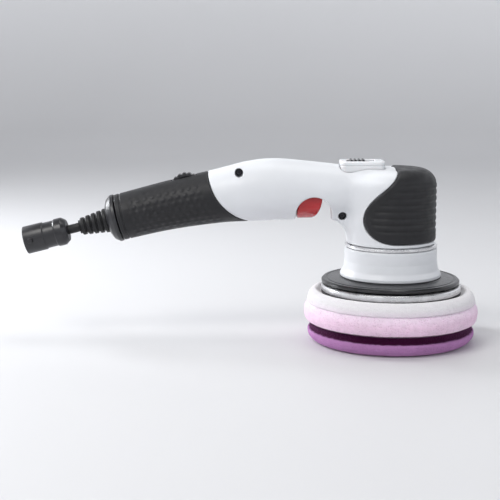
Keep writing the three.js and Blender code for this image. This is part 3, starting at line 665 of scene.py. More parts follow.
def polishing_foam(name, color, deep, cell, bands):
    """Open-cell foam: pores of two sizes in a net of struts.

    Each band fades to its tint from one height to another, in millimetres.
    """
    f = Finish(name)
    wobble = f.add("ShaderNodeVectorMath", {0: f.position}, operation="ADD")
    drift = f.add("ShaderNodeTexNoise", {"Vector": f.position, "Scale": 1 / (2.2 * METRE)}).outputs["Color"]
    small = f.add("ShaderNodeVectorMath", {0: drift, "Scale": 0.5 * METRE}, operation="SCALE").outputs[0]
    f.put(wobble.inputs[1], small)
    big = f.remap(f.cells(cell, vector=wobble.outputs[0]), 0.12, 0.62)
    fine = f.remap(f.cells(cell * 0.45, vector=wobble.outputs[0]), 0.1, 0.6)
    struts = f.math("ADD", f.math("MULTIPLY", big, 0.7), f.math("MULTIPLY", fine, 0.3))
    worn = f.noise(5, 5, rough=0.65)
    height = f.math("ADD", f.level(), f.remap(worn, 0.3, 0.7, -0.3 * METRE, 0.3 * METRE))
    base = color
    for start, end, tint in bands:
        base = f.blend(f.remap(height, start * METRE, end * METRE), base, tint)
    # Painted shade: the pores are darkened towards the deep colour, as if in shadow.
    depth = f.remap(struts, 0.05, 0.5, 0.85, 0.0)
    pores = f.add("ShaderNodeMix", {0: depth, 6: base, 7: deep}, data_type="RGBA", blend_type="MULTIPLY")
    tone = f.math("MULTIPLY", f.remap(worn, 0.3, 0.7, 0.9, 1.03), f.varied(22, 0.95, 1.02))
    shaded = f.add("ShaderNodeVectorMath", {0: pores.outputs[2]}, operation="SCALE")
    f.put(shaded.inputs["Scale"], tone)
    f.set(Base_Color=shaded.outputs[0], Roughness=0.95, Specular_IOR_Level=0.1)
    f.set(Subsurface_Weight=0.2, Subsurface_Radius=(0.0018, 0.001, 0.0016), Subsurface_Scale=1.0)
    f.set(Sheen_Weight=0.35, Sheen_Roughness=0.5, Sheen_Tint=(*color, 1))
    f.bump(struts, 0.45, 0.95)
    f.bump(worn, 0.5, 0.5)
    return f.material


def loop_fabric(name, color):
    """Brushed loop fabric: tangled fibres with a soft sheen."""
    f = Finish(name)
    stretched = f.mapped((1, 1, 2.6))
    fibres = f.noise(0.5, 6, stretched, 0.7)
    tufts = f.cells(1.3, "SMOOTH_F1", stretched)
    # Painted highlight: towards its lower edge, where it curls over the foam's shoulder, the fabric turns to
    # the painted highlight pink.
    yarn = f.blend(f.remap(f.level(), 40 * METRE, 35.5 * METRE), lighter(color, 0.4), PAINTED_HIGHLIGHT_PINK)
    base = f.blend(f.remap(fibres, 0.35, 0.65), darker(color, 0.84), yarn)
    f.set(Base_Color=base, Roughness=0.95, Sheen_Weight=0.6, Sheen_Roughness=0.4)
    f.set(Subsurface_Weight=0.15, Subsurface_Radius=(0.001, 0.001, 0.001), Subsurface_Scale=1.0)
    f.bump(fibres, 0.45)
    f.bump(tufts, 0.5, 0.8)
    return f.material


def turned_metal(name, color, roughness, axis_y, pitch=1.1):
    """Machined metal with the rings a lathe leaves round an upright axis."""
    f = Finish(name)
    centred = f.mapped((1, 1, 0), location=(0, -axis_y * METRE, 0))
    radius = f.add("ShaderNodeVectorMath", {0: centred}, operation="LENGTH").outputs["Value"]
    line = f.add("ShaderNodeCombineXYZ", {0: radius, 1: f.level()}).outputs[0]
    rings = f.noise(pitch, 4, line, 0.7)
    stain = f.noise(9, 4)
    base = f.blend(f.remap(stain, 0.35, 0.7), darker(color, 0.86), color)
    f.set(Base_Color=base, Metallic=1.0)
    cuts = f.remap(rings, 0.3, 0.7, -0.07, 0.07)
    f.set(Roughness=f.math("ADD", cuts, f.remap(stain, 0.3, 0.7, roughness, roughness + 0.1)))
    f.bump(rings, 0.02, 0.5)
    return f.material


def plated_steel(name, color, roughness=0.28):
    """Plated steel: faint scratches and a little uneven tarnish."""
    f = Finish(name)
    scratches = f.noise(1.4, 5, f.mapped((1, 14, 1), (0.5, 0.8, 0.3)), 0.7)
    base = f.blend(f.remap(f.noise(2.5, 4), 0.35, 0.7), darker(color, 0.8), color)
    f.set(Base_Color=base, Metallic=1.0)
    f.set(Roughness=f.remap(scratches, 0.3, 0.7, roughness - 0.06, roughness + 0.12))
    f.bump(scratches, 0.01)
    return f.material


def gloss_lacquer(name, color, roughness=0.16, coat=1.0):
    """Glossy moulded plastic: slightly uneven surface, hairline scratches and a clear skin."""
    f = Finish(name)
    hairs = f.remap(f.noise(1.1, 4, f.mapped((1, 22, 1), (0.2, 1.1, 0.4)), 0.8), 0.62, 0.72)
    base = f.blend(f.varied(16, 0, 1, 3), darker(color, 0.86), color)
    # Painted shade: the colour darkens where surfaces shade each other.
    base = f.blend(f.math("MULTIPLY", f.corners(2), 0.5), base, darker(color, 0.4))
    f.set(Base_Color=base, Roughness=f.math("ADD", f.math("MULTIPLY", hairs, 0.12), roughness))
    f.set(Coat_Weight=coat, Coat_Roughness=0.06)
    f.set(Subsurface_Weight=0.05, Subsurface_Radius=(0.002, 0.0005, 0.0005))
    f.bump(f.noise(5, 2), 0.05, 0.5)
    f.bump(hairs, 0.004)
    return f.material


def stacked_sheets(name, color):
    """Electrical steel laminations: thin dark lines between sheets half a millimetre thick."""
    f = Finish(name)
    phase = f.math("FRACT", f.math("MULTIPLY", f.level(), 2 / METRE))
    seam = f.remap(f.math("ABSOLUTE", f.math("SUBTRACT", phase, 0.5)), 0.36, 0.5)
    base = f.blend(seam, color, darker(color, 0.25))
    f.set(Base_Color=base, Metallic=0.9, Roughness=f.varied(1.5, 0.35, 0.6, 4))
    f.bump(f.math("SUBTRACT", 1.0, seam), 0.06)
    return f.material


def wound_copper(name, color):
    """Enamelled copper wire laid side by side."""
    f = Finish(name)
    inputs = {"Vector": f.position, "Scale": 0.3 / METRE, "Distortion": 1.5, "Detail": 1.0}
    wires = f.add("ShaderNodeTexWave", inputs).outputs["Fac"]
    # Painted shade: the gaps between the wires are painted dark.
    base = f.blend(wires, darker(color, 0.35), color)
    f.set(Base_Color=base, Metallic=0.85, Roughness=f.varied(1.2, 0.22, 0.4), Coat_Weight=0.6)
    f.bump(wires, 0.25)
    return f.material


def circuit_board(name, color):
    """Green circuit board with traces under the mask and tinned pads."""
    f = Finish(name)
    traces = f.add("ShaderNodeTexBrick", {"Vector": f.position, "Scale": 0.35 / METRE, "Mortar Size": 0.03})
    pads = f.remap(f.cells(3.2), 0.16, 0.2, 1.0, 0.0)
    base = f.blend(traces.outputs["Fac"], color, tuple(c * 1.8 for c in color))
    base = f.blend(pads, base, (0.7, 0.68, 0.62))
    f.set(Base_Color=base, Metallic=f.math("MULTIPLY", pads, 0.9), Roughness=f.varied(4, 0.25, 0.4))
    f.bump(f.math("ADD", traces.outputs["Fac"], pads), 0.05)
    return f.material


# Painted shade: the groove between the foam layers and the underside of the upper foam's overhang are painted
# this dark purple, over the glue seam where the layers meet.
SEAM_AND_SHADE_PURPLE = (0.035, 0.001, 0.022)
# Painted highlight: the upper foam pales towards its top shoulder, as if lit from above, and the loop fabric
# turns to the same pale pink where it curls down over that shoulder.
PAINTED_HIGHLIGHT_PINK = (0.93, 0.79, 0.91)
PINK_BANDS = [(26, 35, PAINTED_HIGHLIGHT_PINK), (18.9, 18.1, SEAM_AND_SHADE_PURPLE)]
PURPLE_BANDS = [(3.4, 0.4, (0.62, 0.33, 0.58)), (10.6, 11.4, SEAM_AND_SHADE_PURPLE)]
MAKERS = {
    "casing_grey": lambda n, c: moulded_plastic(n, c, 0.4),
    "collar_grey": lambda n, c: moulded_plastic(n, c, 0.36, 0.5, 0.015),
    "grip_rubber": soft_rubber,
    "black_plastic": lambda n, c: moulded_plastic(n, c, 0.34, 0.5, 0.015),
    "gloss_black": lambda n, c: moulded_plastic(n, c, 0.2, 0.6, 0.006),
    "cord_rubber": lambda n, c: soft_rubber(n, c, 0.5),
    "trigger_red": lambda n, c: gloss_lacquer(n, darker(c, 0.85), 0.24, 0.35),
    "switch_light": lambda n, c: gloss_lacquer(n, c, 0.25, 0.4),
    "aluminium": lambda n, c: turned_metal(n, c, 0.24, PAD_Y),
    "steel": plated_steel,
    "black_steel": lambda n, c: plated_steel(n, c, 0.34),
    "lamination_steel": stacked_sheets,
    "magnet": plated_steel,
    "copper": wound_copper,
    "board_green": circuit_board,
    # The second colour of each foam is the painted shade in its pores.
    "foam_pink": lambda n, c: polishing_foam(n, lighter(c, 0.25), (0.66, 0.46, 0.6), 1.6, PINK_BANDS),
    "foam_purple": lambda n, c: polishing_foam(n, lighter(c, 0.14), (0.6, 0.42, 0.58), 1.3, PURPLE_BANDS),
    "loop_white": loop_fabric,
    "hook_black": soft_rubber,
}
COLORS = {m["slot"]: tuple(m["base_color"][:3]) for m in frame["record"]["materials"]}
FINISHES = {}


def material(slot):
    """The procedural finish of a slot; it stands in for the frame's plain material."""
    if slot not in FINISHES:
        FINISHES[slot] = MAKERS[slot](slot + "_finish", COLORS[slot])
    return FINISHES[slot]


# ---------------------------------------------------------------- Casing
def casing_skin(x, y, z):
    """The casing's outer surface, set back where the rubber grips lie."""
    form = body_field(x, y, z)
    under_sleeve = np.maximum(sleeve_region(x, z), -(form + SLEEVE + GAP))
    under_palm = np.maximum(palm_region(x, z) - GAP, -(head_field(x, y, z) + PALM_SEAT))
    return carve(carve(form, under_sleeve, 0.9), under_palm, 0.9)


def under_vents(x, y, z):
    """Three cooling slots across the underside, ahead of the sleeve."""
    first, pitch, half_width, reach, top = -93, 5, 1.3, 7, 110
    slots = 1e3
    for i in range(3):
        off_end = np.maximum(np.abs(y) - reach + half_width, 0)
        slots = np.minimum(slots, np.hypot(x - first + pitch * i, off_end) - half_width)
    return np.maximum(slots, z - top)


def casing_half(side):
    """Thin shell with screw bosses, open below the head; the right half takes the screw heads."""
    bezel_low, bezel_high = span("switch_bezel")
    boss_radius, hole_radius, head_radius = 4.2, 1.7, 3.6

    def field(x, y, z):
        skin = casing_skin(x, y, z)
        shell = np.maximum(skin, -(skin + WALL))
        liner = np.maximum(np.maximum(arch_region(x, z) - 2, skin), OPENING[0] + 8 - x)
        shell = np.minimum(shell, liner)
        for screw_x, screw_z, _ in SHELL_SCREWS:
            boss = np.maximum(np.hypot(x - screw_x, z - screw_z) - boss_radius, skin)
            shell = smooth_min(shell, boss, 1)
        shell = carve(shell, arch_region(x, z), 1.4)
        shell = carve(shell, under_vents(x, y, z), 0.8)
        hole = box_field(x, y, z, bezel_low - GAP, (*(bezel_high[:2] + GAP), 175), 5)
        shell = carve(shell, hole, 0.7)
        shell = carve(shell, dial_slot(x, y, z), 0.7)
        for screw_x, screw_z, seat in SHELL_SCREWS:
            reach = np.hypot(x - screw_x, z - screw_z)
            shell = np.maximum(shell, -np.maximum(reach - hole_radius, y - 12))
            if side < 0:
                shell = carve(shell, np.maximum(reach - head_radius, y - seat), 0.6)
        shell = smooth_max(shell, HEAD_BOTTOM - z, 0.8)
        shell = smooth_max(shell, tail_plane(x, z), 0.8)
        return smooth_max(shell, GAP / 2 - side * y, 0.8)

    return moulded("shell_left" if side > 0 else "shell_right", field, 0.8)


def grip_studs(x, y, z, rows=26, pitch=6.2, radius=2.15, height=0.5):
    """Low round studs in staggered rows round the handle, fading out towards its top and bottom."""
    centre = np.interp(x, HANDLE_CURVE[:, 0], HANDLE_CURVE[:, 1])
    turn = np.arctan2(y, z - centre)
    row_pitch = 2 * math.pi / rows
    row = np.round(turn / row_pitch)
    along = x + 0.5 * pitch * np.mod(row, 2)
    along = along - pitch * np.round(along / pitch)
    across = 22 * (turn - row * row_pitch)
    share = np.clip((np.abs(turn) - 0.55) / 0.5, 0, 1) * np.clip((2.75 - np.abs(turn)) / 0.35, 0, 1)
    return height * share * np.maximum(1 - (along**2 + across**2) / radius**2, 0)


def rear_grip():
    """Studded rubber sleeve over the rear of the handle, with a fine groove near its end."""
    def field(x, y, z):
        form = body_field(x, y, z)
        front = np.clip((-sleeve_region(x, z) - 6) / 7, 0, 1)
        back = np.clip((-tail_plane(x, z) - 8) / 6, 0, 1)
        skin = form - grip_studs(x, y, z) * front * back
        lip = np.abs(tail_plane(x, z) + 4.5) - 0.8
        skin = np.maximum(skin, -np.maximum(lip, -(form + 0.7)))
        sleeve = np.maximum(skin, -(form + SLEEVE))
        sleeve = smooth_max(sleeve, sleeve_region(x, z) + GAP, 1.1)
        sleeve = carve(sleeve, dial_slot(x, y, z), 0.8)
        return smooth_max(sleeve, tail_plane(x, z), 0.8)

    return moulded("rear_grip", field, 0.6, margin=1.0)


def palm_grip():
    """Ribbed rubber over the front of the head."""
    rib_centre, rib_pitch = 118, 5.6

    def field(x, y, z):
        head = head_field(x, y, z)
        region = palm_region(x, z)
        rib = 0.5 + 0.5 * np.cos(2 * math.pi * (z - rib_centre) / rib_pitch)
        inset = np.clip((-region - 5) / 4, 0, 1) * np.clip((140 - z) / 6, 0, 1)
        skin = smooth_max(head - 0.9 + 0.7 * (1 - rib) ** 2 * inset, region, 2.0)
        return np.maximum(skin, -(head + 1.4))

    return moulded("palm_grip", field, 0.65, margin=0.8)


# ---------------------------------------------------------------- Neck and pad
def neck_collar():
    radius, bottom, top = round_span("neck_collar")
    outline = [
        (35, bottom, 0.4), (radius, bottom, 0.8), (radius, bottom + 2.6, 1.6),
        (41, bottom + 6.5, 6), (39.8, bottom + 14, 6), (39.8, top - 1.2, 0.5),
        (39.1, top, 0.3), (35, top, 0.3),
    ]
    turned("neck_collar", outline)


def bearing_carrier():
    radius, bottom, top = round_span("bearing_carrier")
    outline = [
        (6.5, bottom, 0.3), (radius - 1.2, bottom, 0.3), (radius - 1.2, bottom + 0.5, 0.2),
        (radius, bottom + 0.6, 0.3), (radius, bottom + 2.5, 0.3), (radius - 1.6, bottom + 3, 0.3),
        (31.2, bottom + 3, 0.2), (31.2, bottom + 6, 0.4), (29.2, bottom + 6, 0.4),
        (29.2, bottom + 3, 0.3), (17, bottom + 3, 1), (17, top, 0.5), (13.1, top, 0.4),
        (13.1, 83.2, 0.2), (6.5, 83.2, 0.3),
    ]
    turned("bearing_carrier", outline)


def skirt():
    radius, bottom, top = round_span("skirt")
    outline = [
        (radius - 2.6, bottom, 0.5), (radius - 0.4, bottom, 0.5), (radius, bottom + 0.5, 0.4),
        (radius, bottom + 2.2, 0.4), (radius - 1.4, bottom + 3.5, 0.5),
        (radius - 3.4, bottom + 3.7, 0.4), (radius - 3.9, bottom + 3.2, 0.3),
        (radius - 4.6, bottom + 3.2, 0.3), (radius - 5.1, bottom + 3.8, 0.4),
        (45, top - 0.6, 1), (44, top, 0.4), (36, top, 0.4), (36, top - 2.4, 0.4),
        (radius - 4, bottom + 1.4, 1),
    ]
    turned("skirt", outline, 192)


def pad_place():
    return Matrix.Translation((0, PAD_Y * METRE, 0))


def backing_plate():
    """Polished plate with a raised rim, a ring of vents and a hub."""
    radius, bottom, hub_top = round_span("backing_plate")
    floor, rim, rim_top = 47.2, 55, 49.5
    outline = [
        (6.6, bottom, 0.3), (radius - 0.8, bottom, 0.3), (radius, bottom + 0.8, 0.4),
        (radius, rim_top - 0.8, 0.4), (radius - 0.8, rim_top, 0.4), (rim + 0.6, rim_top, 0.5),
        (rim, rim_top - 0.6, 0.4), (rim - 0.4, floor, 0.8), (22, floor, 2),
        (15, floor + 1.5, 2), (15, hub_top, 0.7), (4.3, hub_top, 0.4), (4.3, 48.6, 0.2),
        (6.6, 48.6, 0.2),
    ]
    plate = turned("backing_plate", outline, 192, pad_place())
    vents = []
    for x, y in round_of(12, 49):
        place = Matrix.Translation(Vector((x, y + PAD_Y, 0)) * METRE)
        vents.append(turned_mesh("vent", [(0, 42), (4.2, 42), (4.2, 50), (0, 50)], 32, place))
    cut_away(plate, *vents)


def relief(piece, depth, size, seed, flat_below):
    """Pushes a surface in and out from the pad's axis by soft noise.

    `size` is the width of the lumps, and the relief fades out at `flat_below`.
    """
    mesh = piece.data
    points = np.empty(len(mesh.vertices) * 3)
    mesh.vertices.foreach_get("co", points)
    points = points.reshape(-1, 3)
    shift = Vector((seed * 3.1, seed * 1.7, 0))
    for i, p in enumerate(points):
        spot = Vector(p) / (size * METRE) + shift
        coarse = noise.noise(spot * 0.3)
        fine = noise.noise(spot)
        grain = noise.noise(spot * 3.7)
        push = (0.5 * coarse + 0.3 * fine + 0.35 * grain) * depth * METRE
        out = Vector((p[0], p[1] - PAD_Y * METRE, 0))
        if out.length < 1e-4:
            continue
        share = 1.0 if flat_below is None else min(1.0, max(0.0, (p[2] / METRE - flat_below) / 4))
        points[i] += np.array(out.normalized()) * push * share
    mesh.vertices.foreach_set("co", points.ravel())
    mesh.update()


def soft_piece(node, outline, lumps, seed, segments=320, flat_below=None):
    """A foam or fabric piece turned about the pad's axis, with a soft relief."""
    mesh = turned_mesh(node + "_fine", outline, segments, pad_place(), 80)
    piece = stand_for(object_of(node + "_fine", mesh), node)
    relief(piece, 0.55, lumps, seed, flat_below)


def flat(start, end, height, count):
    """Points along a level line of an outline, close enough to take a relief."""
    return [(r, height) for r in np.linspace(start, end, count)]


def foam_body():
    """Upper foam: its side crowns out and turns in over the shoulder."""
    radius, bottom, top = round_span("foam_body")
    side = [(70.2, bottom), (73, bottom + 1.6)]
    side += bezier((73, bottom + 1.6), (75.6, bottom + 6), (76.2, bottom + 13), (71, top - 4.2), 30)
    side += bezier((71, top - 4.2), (69.8, top - 2.4), (68.6, top - 0.2), (66.5, top), 10)
    scale = radius / 75.2
    side = [(r * scale, z) for r, z in side]
    soft_piece("foam_body", flat(0, 68, bottom, 12) + side + flat(64, 0, top, 10), 4.0, 1.0)


def foam_face():
    """Lower foam: a rolled edge under the groove between the layers."""
    top = round_span("foam_face")[2]
    side = bezier((60, 0), (66, 0), (69.8, 2.6), (71.2, 6.4), 20)
    side += bezier((71.2, 6.4), (72.1, 8.8), (72, 10.4), (70.6, 11), 10)
    side += bezier((70.6, 11), (69, 11.6), (68.8, 13.4), (69.4, top), 10)
    soft_piece("foam_face", flat(0, 60, 0, 16) + side + flat(66, 0, top, 10), 3.4, 2.0, flat_below=0.5)


def loop_disc():
    """Loop fabric: it curls down over the foam's shoulder and stands up round the plate."""
    _, bottom, top = round_span("loop_disc")
    rim = [(9, bottom), (30, bottom), (50, bottom), (60, bottom), (64, bottom)]
    rim += bezier((66.9, bottom), (68.6, 39.3), (70.3, 37.2), (71.3, 35.2), 12)
    rim += bezier((71.3, 35.2), (71.6, 34.2), (72.4, 34.3), (72.6, 35.2), 5)
    rim += bezier((72.6, 35.2), (72, 38.4), (70.4, 43.2), (67.4, 44.7), 16)
    rim += bezier((67.4, 44.7), (66.2, 45.4), (64.4, 45.2), (63.6, 44.2), 8)
    rim += bezier((63.6, 44.2), (63, 43.2), (62.6, 42.2), (61.4, top), 6)
    rim += [(50, top), (30, top), (9, top)]
    soft_piece("loop_disc", rim, 1.3, 3.0, 420)


def plate_cushion():
    radius, bottom, top = round_span("plate_cushion")
    outline = [(9, bottom, 0.2), (radius, bottom, 0.5), (radius, top, 0.9), (9, top, 0.2)]
    turned("plate_cushion", outline, 160, pad_place())


# ---------------------------------------------------------------- Controls
def trigger():
    """Hollow red lever: a dished finger pad with cheeks that fill the arch, and an arm to its pivot."""
    finger = [(-60.6, 127), (-79, 127), (-79, 121.4)]
    finger += bezier((-79, 121.4), (-81.2, 118.3), (-82, 114.6), (-82, 110.6), 8) + [(-82, 108)]
    finger += bezier((-82, 108), (-81.8, 105.4), (-80.6, 105), (-79, 105), 6) + [(-69, 105)]
    finger += bezier((-69, 105), (-65.4, 106.4), (-62.6, 113), (-60.6, 121.4), 10)
    arm = [(-72, 121.4), (-80, 124.2)] + arc((-87, 121), 4.4, 90, 270, 10) + [(-80, 115.5), (-72, 115.5)]

    def field(x, y, z):
        lever = smooth_max(outline_field(finger, x, z), handle_field(x, y, z) + 0.6, 2.4)
        dish = np.hypot(x + 50.5, z - 103) - 13.2
        lever = carve(lever, np.maximum(dish, np.abs(y) - 12), 1.6)
        lever = smooth_max(lever, np.abs(y) - 18.6, 1.2)
        pocket = box_field(x, y, z, (-90, -15.8, 121.4), (-63.4, 15.8, 140), 0.8)
        lever = carve(lever, pocket, 0.5)
        lever = smooth_min(lever, smooth_max(outline_field(arm, x, z), np.abs(y) - 11, 0.8), 0.8)
        lever = carve(lever, np.hypot(x + 87, z - 121) - 1.8, 0.3)
        spring_seat = np.maximum(np.hypot(x + 76, y) - 4.2, 118 - z)
        return carve(lever, spring_seat, 0.4)

    moulded("trigger", field, 0.48)


def trigger_pin():
    low, high = span("trigger_pin")
    place = Matrix.Translation(Vector(middle_of("trigger_pin")) * METRE)
    half = (high[1] - low[1]) / 2
    outline = [(0, -half, 0), (1.5, -half, 0.4), (1.5, half, 0.4), (0, half, 0)]
    turned("trigger_pin", outline, 32, place @ ALONG_Y)


def trigger_spring():
    """Six turns of wire, closer together at both ends."""
    low, high = span("trigger_spring")
    middle, bottom, top = middle_of("trigger_spring")[0], low[2] + 0.5, high[2] - 0.5
    coil = []
    for t in np.linspace(0, 1, 241):
        angle = 2 * math.pi * 6 * t
        rise = np.interp(t, [0, 1 / 6, 5 / 6, 1], [0, 0.09, 0.91, 1])
        coil.append((middle + 3.1 * math.cos(angle), 3.1 * math.sin(angle), bottom + (top - bottom) * rise))
    spring = joined("trigger_spring", [wire_mesh(coil, 0.5)], 80)
    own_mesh(spring)


def switch_bezel():
    """Box on top of the casing, with a recess for the slider and a slot for its stem."""
    low, high = span("switch_bezel")
    slide_low, slide_high = span("power_slider")

    def field(x, y, z):
        shape = box_field(x, y, z, low, (*high[:2], high[2] + 8), 5)
        shape = smooth_max(shape, z - high[2], 1.6)
        groove = np.maximum(np.abs(z - high[2] + 3.4) - 0.35, -(shape + 0.4))
        shape = carve(shape, groove, 0.2)
        recess_low = (slide_low[0] - 1, slide_low[1] - 0.5, SLIDE_FLOOR)
        recess_high = (slide_high[0] + 8, slide_high[1] + 0.5, 170)
        shape = carve(shape, box_field(x, y, z, recess_low, recess_high, 1.2), 0.7)
        slot = box_field(x, y, z, (-33, -2.6, 130), (-18, 2.6, 170), 1)
        return carve(shape, slot, 0.3)

    moulded("switch_bezel", field, 0.38, margin=0.3)


def power_slider():
    """Slider with four ridges and a stem down to the switch."""
    (x0, y0, _), (x1, y1, ridge_top) = span("power_slider")
    top = ridge_top - 1.3

    def field(x, y, z):
        shape = box_field(x, y, z, (x0, y0, SLIDE_FLOOR + 0.3), (x1, y1, top), 0.8)
        for i in range(4):
            start = x0 + 2 + 3.4 * i
            ridge_low, ridge_high = (start, y0 + 0.4, top - 1.4), (start + 1.7, y1 - 0.4, ridge_top)
            shape = smooth_min(shape, box_field(x, y, z, ridge_low, ridge_high, 0.5), 0.5)
        stem = box_field(x, y, z, (-32, -2.1, 139), (-28, 2.1, SLIDE_FLOOR + 1), 0.4)
        return np.minimum(shape, stem)

    moulded("power_slider", field, 0.3, margin=0.3)


def speed_dial():
    """Thumb wheel with twenty teeth, a dished web and an axle."""
    low, high = span("speed_dial")
    centre_x, _, centre_z = middle_of("speed_dial")
    radius = (high[0] - low[0]) / 2

    def field(x, y, z):
        reach = np.hypot(x - centre_x, z - centre_z)
        turn = np.arctan2(z - centre_z, x - centre_x)
        tooth = 0.5 + 0.5 * np.cos(20 * turn)
        rim = reach - (radius - 0.9 * tooth**2 - 0.05)
        wheel = smooth_max(rim, np.abs(y) - 4, 1.1)
        wheel = carve(wheel, np.maximum(3.1 - np.abs(y), np.abs(reach - 8.5) - 3), 0.5)
        return smooth_min(wheel, smooth_max(reach - 2, np.abs(y) - 6.4, 0.4), 0.4)

    moulded("speed_dial", field, 0.36, margin=0.2)


# ---------------------------------------------------------------- Fasteners
SCREW_HEAD = 2.4
THREAD_PITCH = 0.8


def cap_screw(node, length, place):
    """Cap screw along +Z from its seat, head below zero, with a hexagon socket and a thread."""
    head = [(0, -SCREW_HEAD, 0), (2.6, -SCREW_HEAD, 0.5), (3.1, -1.8, 0.4), (3.1, -0.1, 0.3), (1.4, 0, 0.2)]
    outline = rounded(head)
    for i in range(int(length / THREAD_PITCH)):
        start = THREAD_PITCH * i
        outline += [(1.4, start + 0.4), (1.15, start + 0.8)]
    outline += [(0.9, length), (0, length)]
    screw = turned_mesh(node + "_fine", outline, 40, None, 35)
    socket = turned_mesh("socket", [(0, -4), (1.5, -4), (1.5, -0.9), (0, -0.6)], 6, None, 20)
    piece = object_of(node + "_fine", screw)
    cut_away(piece, socket)
    piece.data.transform(place)
    shade(piece.data, 35)
    stand_for(piece, node)


def screws():
    for i, (x, z, seat) in enumerate(SHELL_SCREWS):
        place = Matrix.Translation(Vector((x, seat - 0.2, z)) * METRE) @ ALONG_Y
        cap_screw(f"shell_screw_{i + 1}", 11 - seat, place)
    for i in range(3):
        node = f"neck_screw_{i + 1}"
        low, high = span(node)
        seat = low[2] + SCREW_HEAD
        place = Matrix.Translation(Vector((*middle_of(node)[:2], seat)) * METRE)
        cap_screw(node, high[2] - seat, place)


# ---------------------------------------------------------------- Tail
def tail_place():
    """Frame whose +Z runs on along the tail from the end of the casing."""
    side = Vector((0, 1, 0))
    turn = Matrix((side, side.cross(TAIL_WAY), TAIL_WAY)).transposed().to_4x4()
    return Matrix.Translation(TAIL * METRE) @ turn


def tail_cap():
    outline = [
        (7.2, 1, 0.3), (TAIL_RADIUS, 1, 0.5), (TAIL_RADIUS, 3.6, 1.6), (TAIL_RADIUS - 3, 7.6, 3),
        (TAIL_RADIUS - 8, 10, 1.5), (9, 10, 0.6), (8.6, 9.2, 0.3), (7.2, 9.2, 0.3),
    ]
    turned("tail_cap", outline, 128, tail_place())


def cord_boot():
    """Bend guard: five ribs that get smaller along the lead."""
    outline = [(4.2, -4, 0.3), (9.5, -4, 0.5), (9.5, 0.4, 0.4), (6.9, 0.4, 0.2), (6.9, 10.4, 0.3)]
    for i in range(5):
        start, radius = 10.4 + 5 * i, 10.4 - 0.7 * i
        outline += [(radius, start, 0.8), (radius, start + 3, 1)]
        outline += [(radius - 2, start + 4, 0.8), (radius - 2, start + 4.9, 0.5)]
    outline += [(6.3, 35.4, 0.6), (4.2, 35.4, 0.4)]
    turned("cord_boot", outline, 96, tail_place())


def cord_clamp():
    """Block that grips the lead inside the casing, with two screw holes."""
    low, high = (-10, -7, -24), (10, 7, -18)

    def field(x, y, z):
        shape = box_field(x, y, z, low, high, 1.2)
        shape = carve(shape, np.hypot(x, y) - 4.2, 0.5)
        for side in (-7, 7):
            shape = carve(shape, np.maximum(np.hypot(x - side, z + 21) - 1.8, y - 5), 0.3)
        return shape

    moulded("cord_clamp", field, 0.45, box=(low, high), place=tail_place())


def supply_lead():
    turned("supply_lead", [(0, -28, 0), (3.9, -28, 0.3), (3.9, 58, 0.3), (0, 58, 0)], 48, tail_place())


def inlet_plug():
    """Plug on the lead's end: a waisted body with two lugs, and two pins in its socket."""
    place = tail_place()
    outline = [
        (4.2, 46, 0.5), (9, 46, 1.5), (12, 50, 2), (12, 56, 0.6), (11.2, 57, 0.4), (11.2, 66, 0.4),
        (12, 67, 0.6), (12, 84, 0.7), (8.6, 84, 0.5), (8.6, 72, 0.4), (0, 72, 0), (0, 60.5, 0),
        (4.2, 60.5, 0.2),
    ]
    parts = [turned_mesh("inlet_plug_fine", rounded(outline), 96, place)]
    for side in (-1, 1):
        lug = block((side * 12.7 - 1.2, -2, 76), (side * 12.7 + 0.7, 2, 80), 0.5, 0.4)
        lug.transform(place)
        parts.append(lug)
    joined("inlet_plug", parts)
    for node in ("inlet_pin_1", "inlet_pin_2"):
        pin_place = place @ Matrix.Translation((middle_of(node)[1] * METRE, 0, 0))
        turned(node, [(0, 72.3, 0), (1.6, 72.3, 0.2), (1.6, 81, 0.9), (0, 81, 0)], 32, pin_place)


# ---------------------------------------------------------------- Motor
TEETH = 9  # of the stator


def ball(centre, radius, place=None):
    made = bmesh.new()
    bmesh.ops.create_uvsphere(made, u_segments=24, v_segments=16, radius=radius * METRE)
    bmesh.ops.translate(made, vec=Vector(centre) * METRE, verts=made.verts)
    return finished(made, "ball", place)


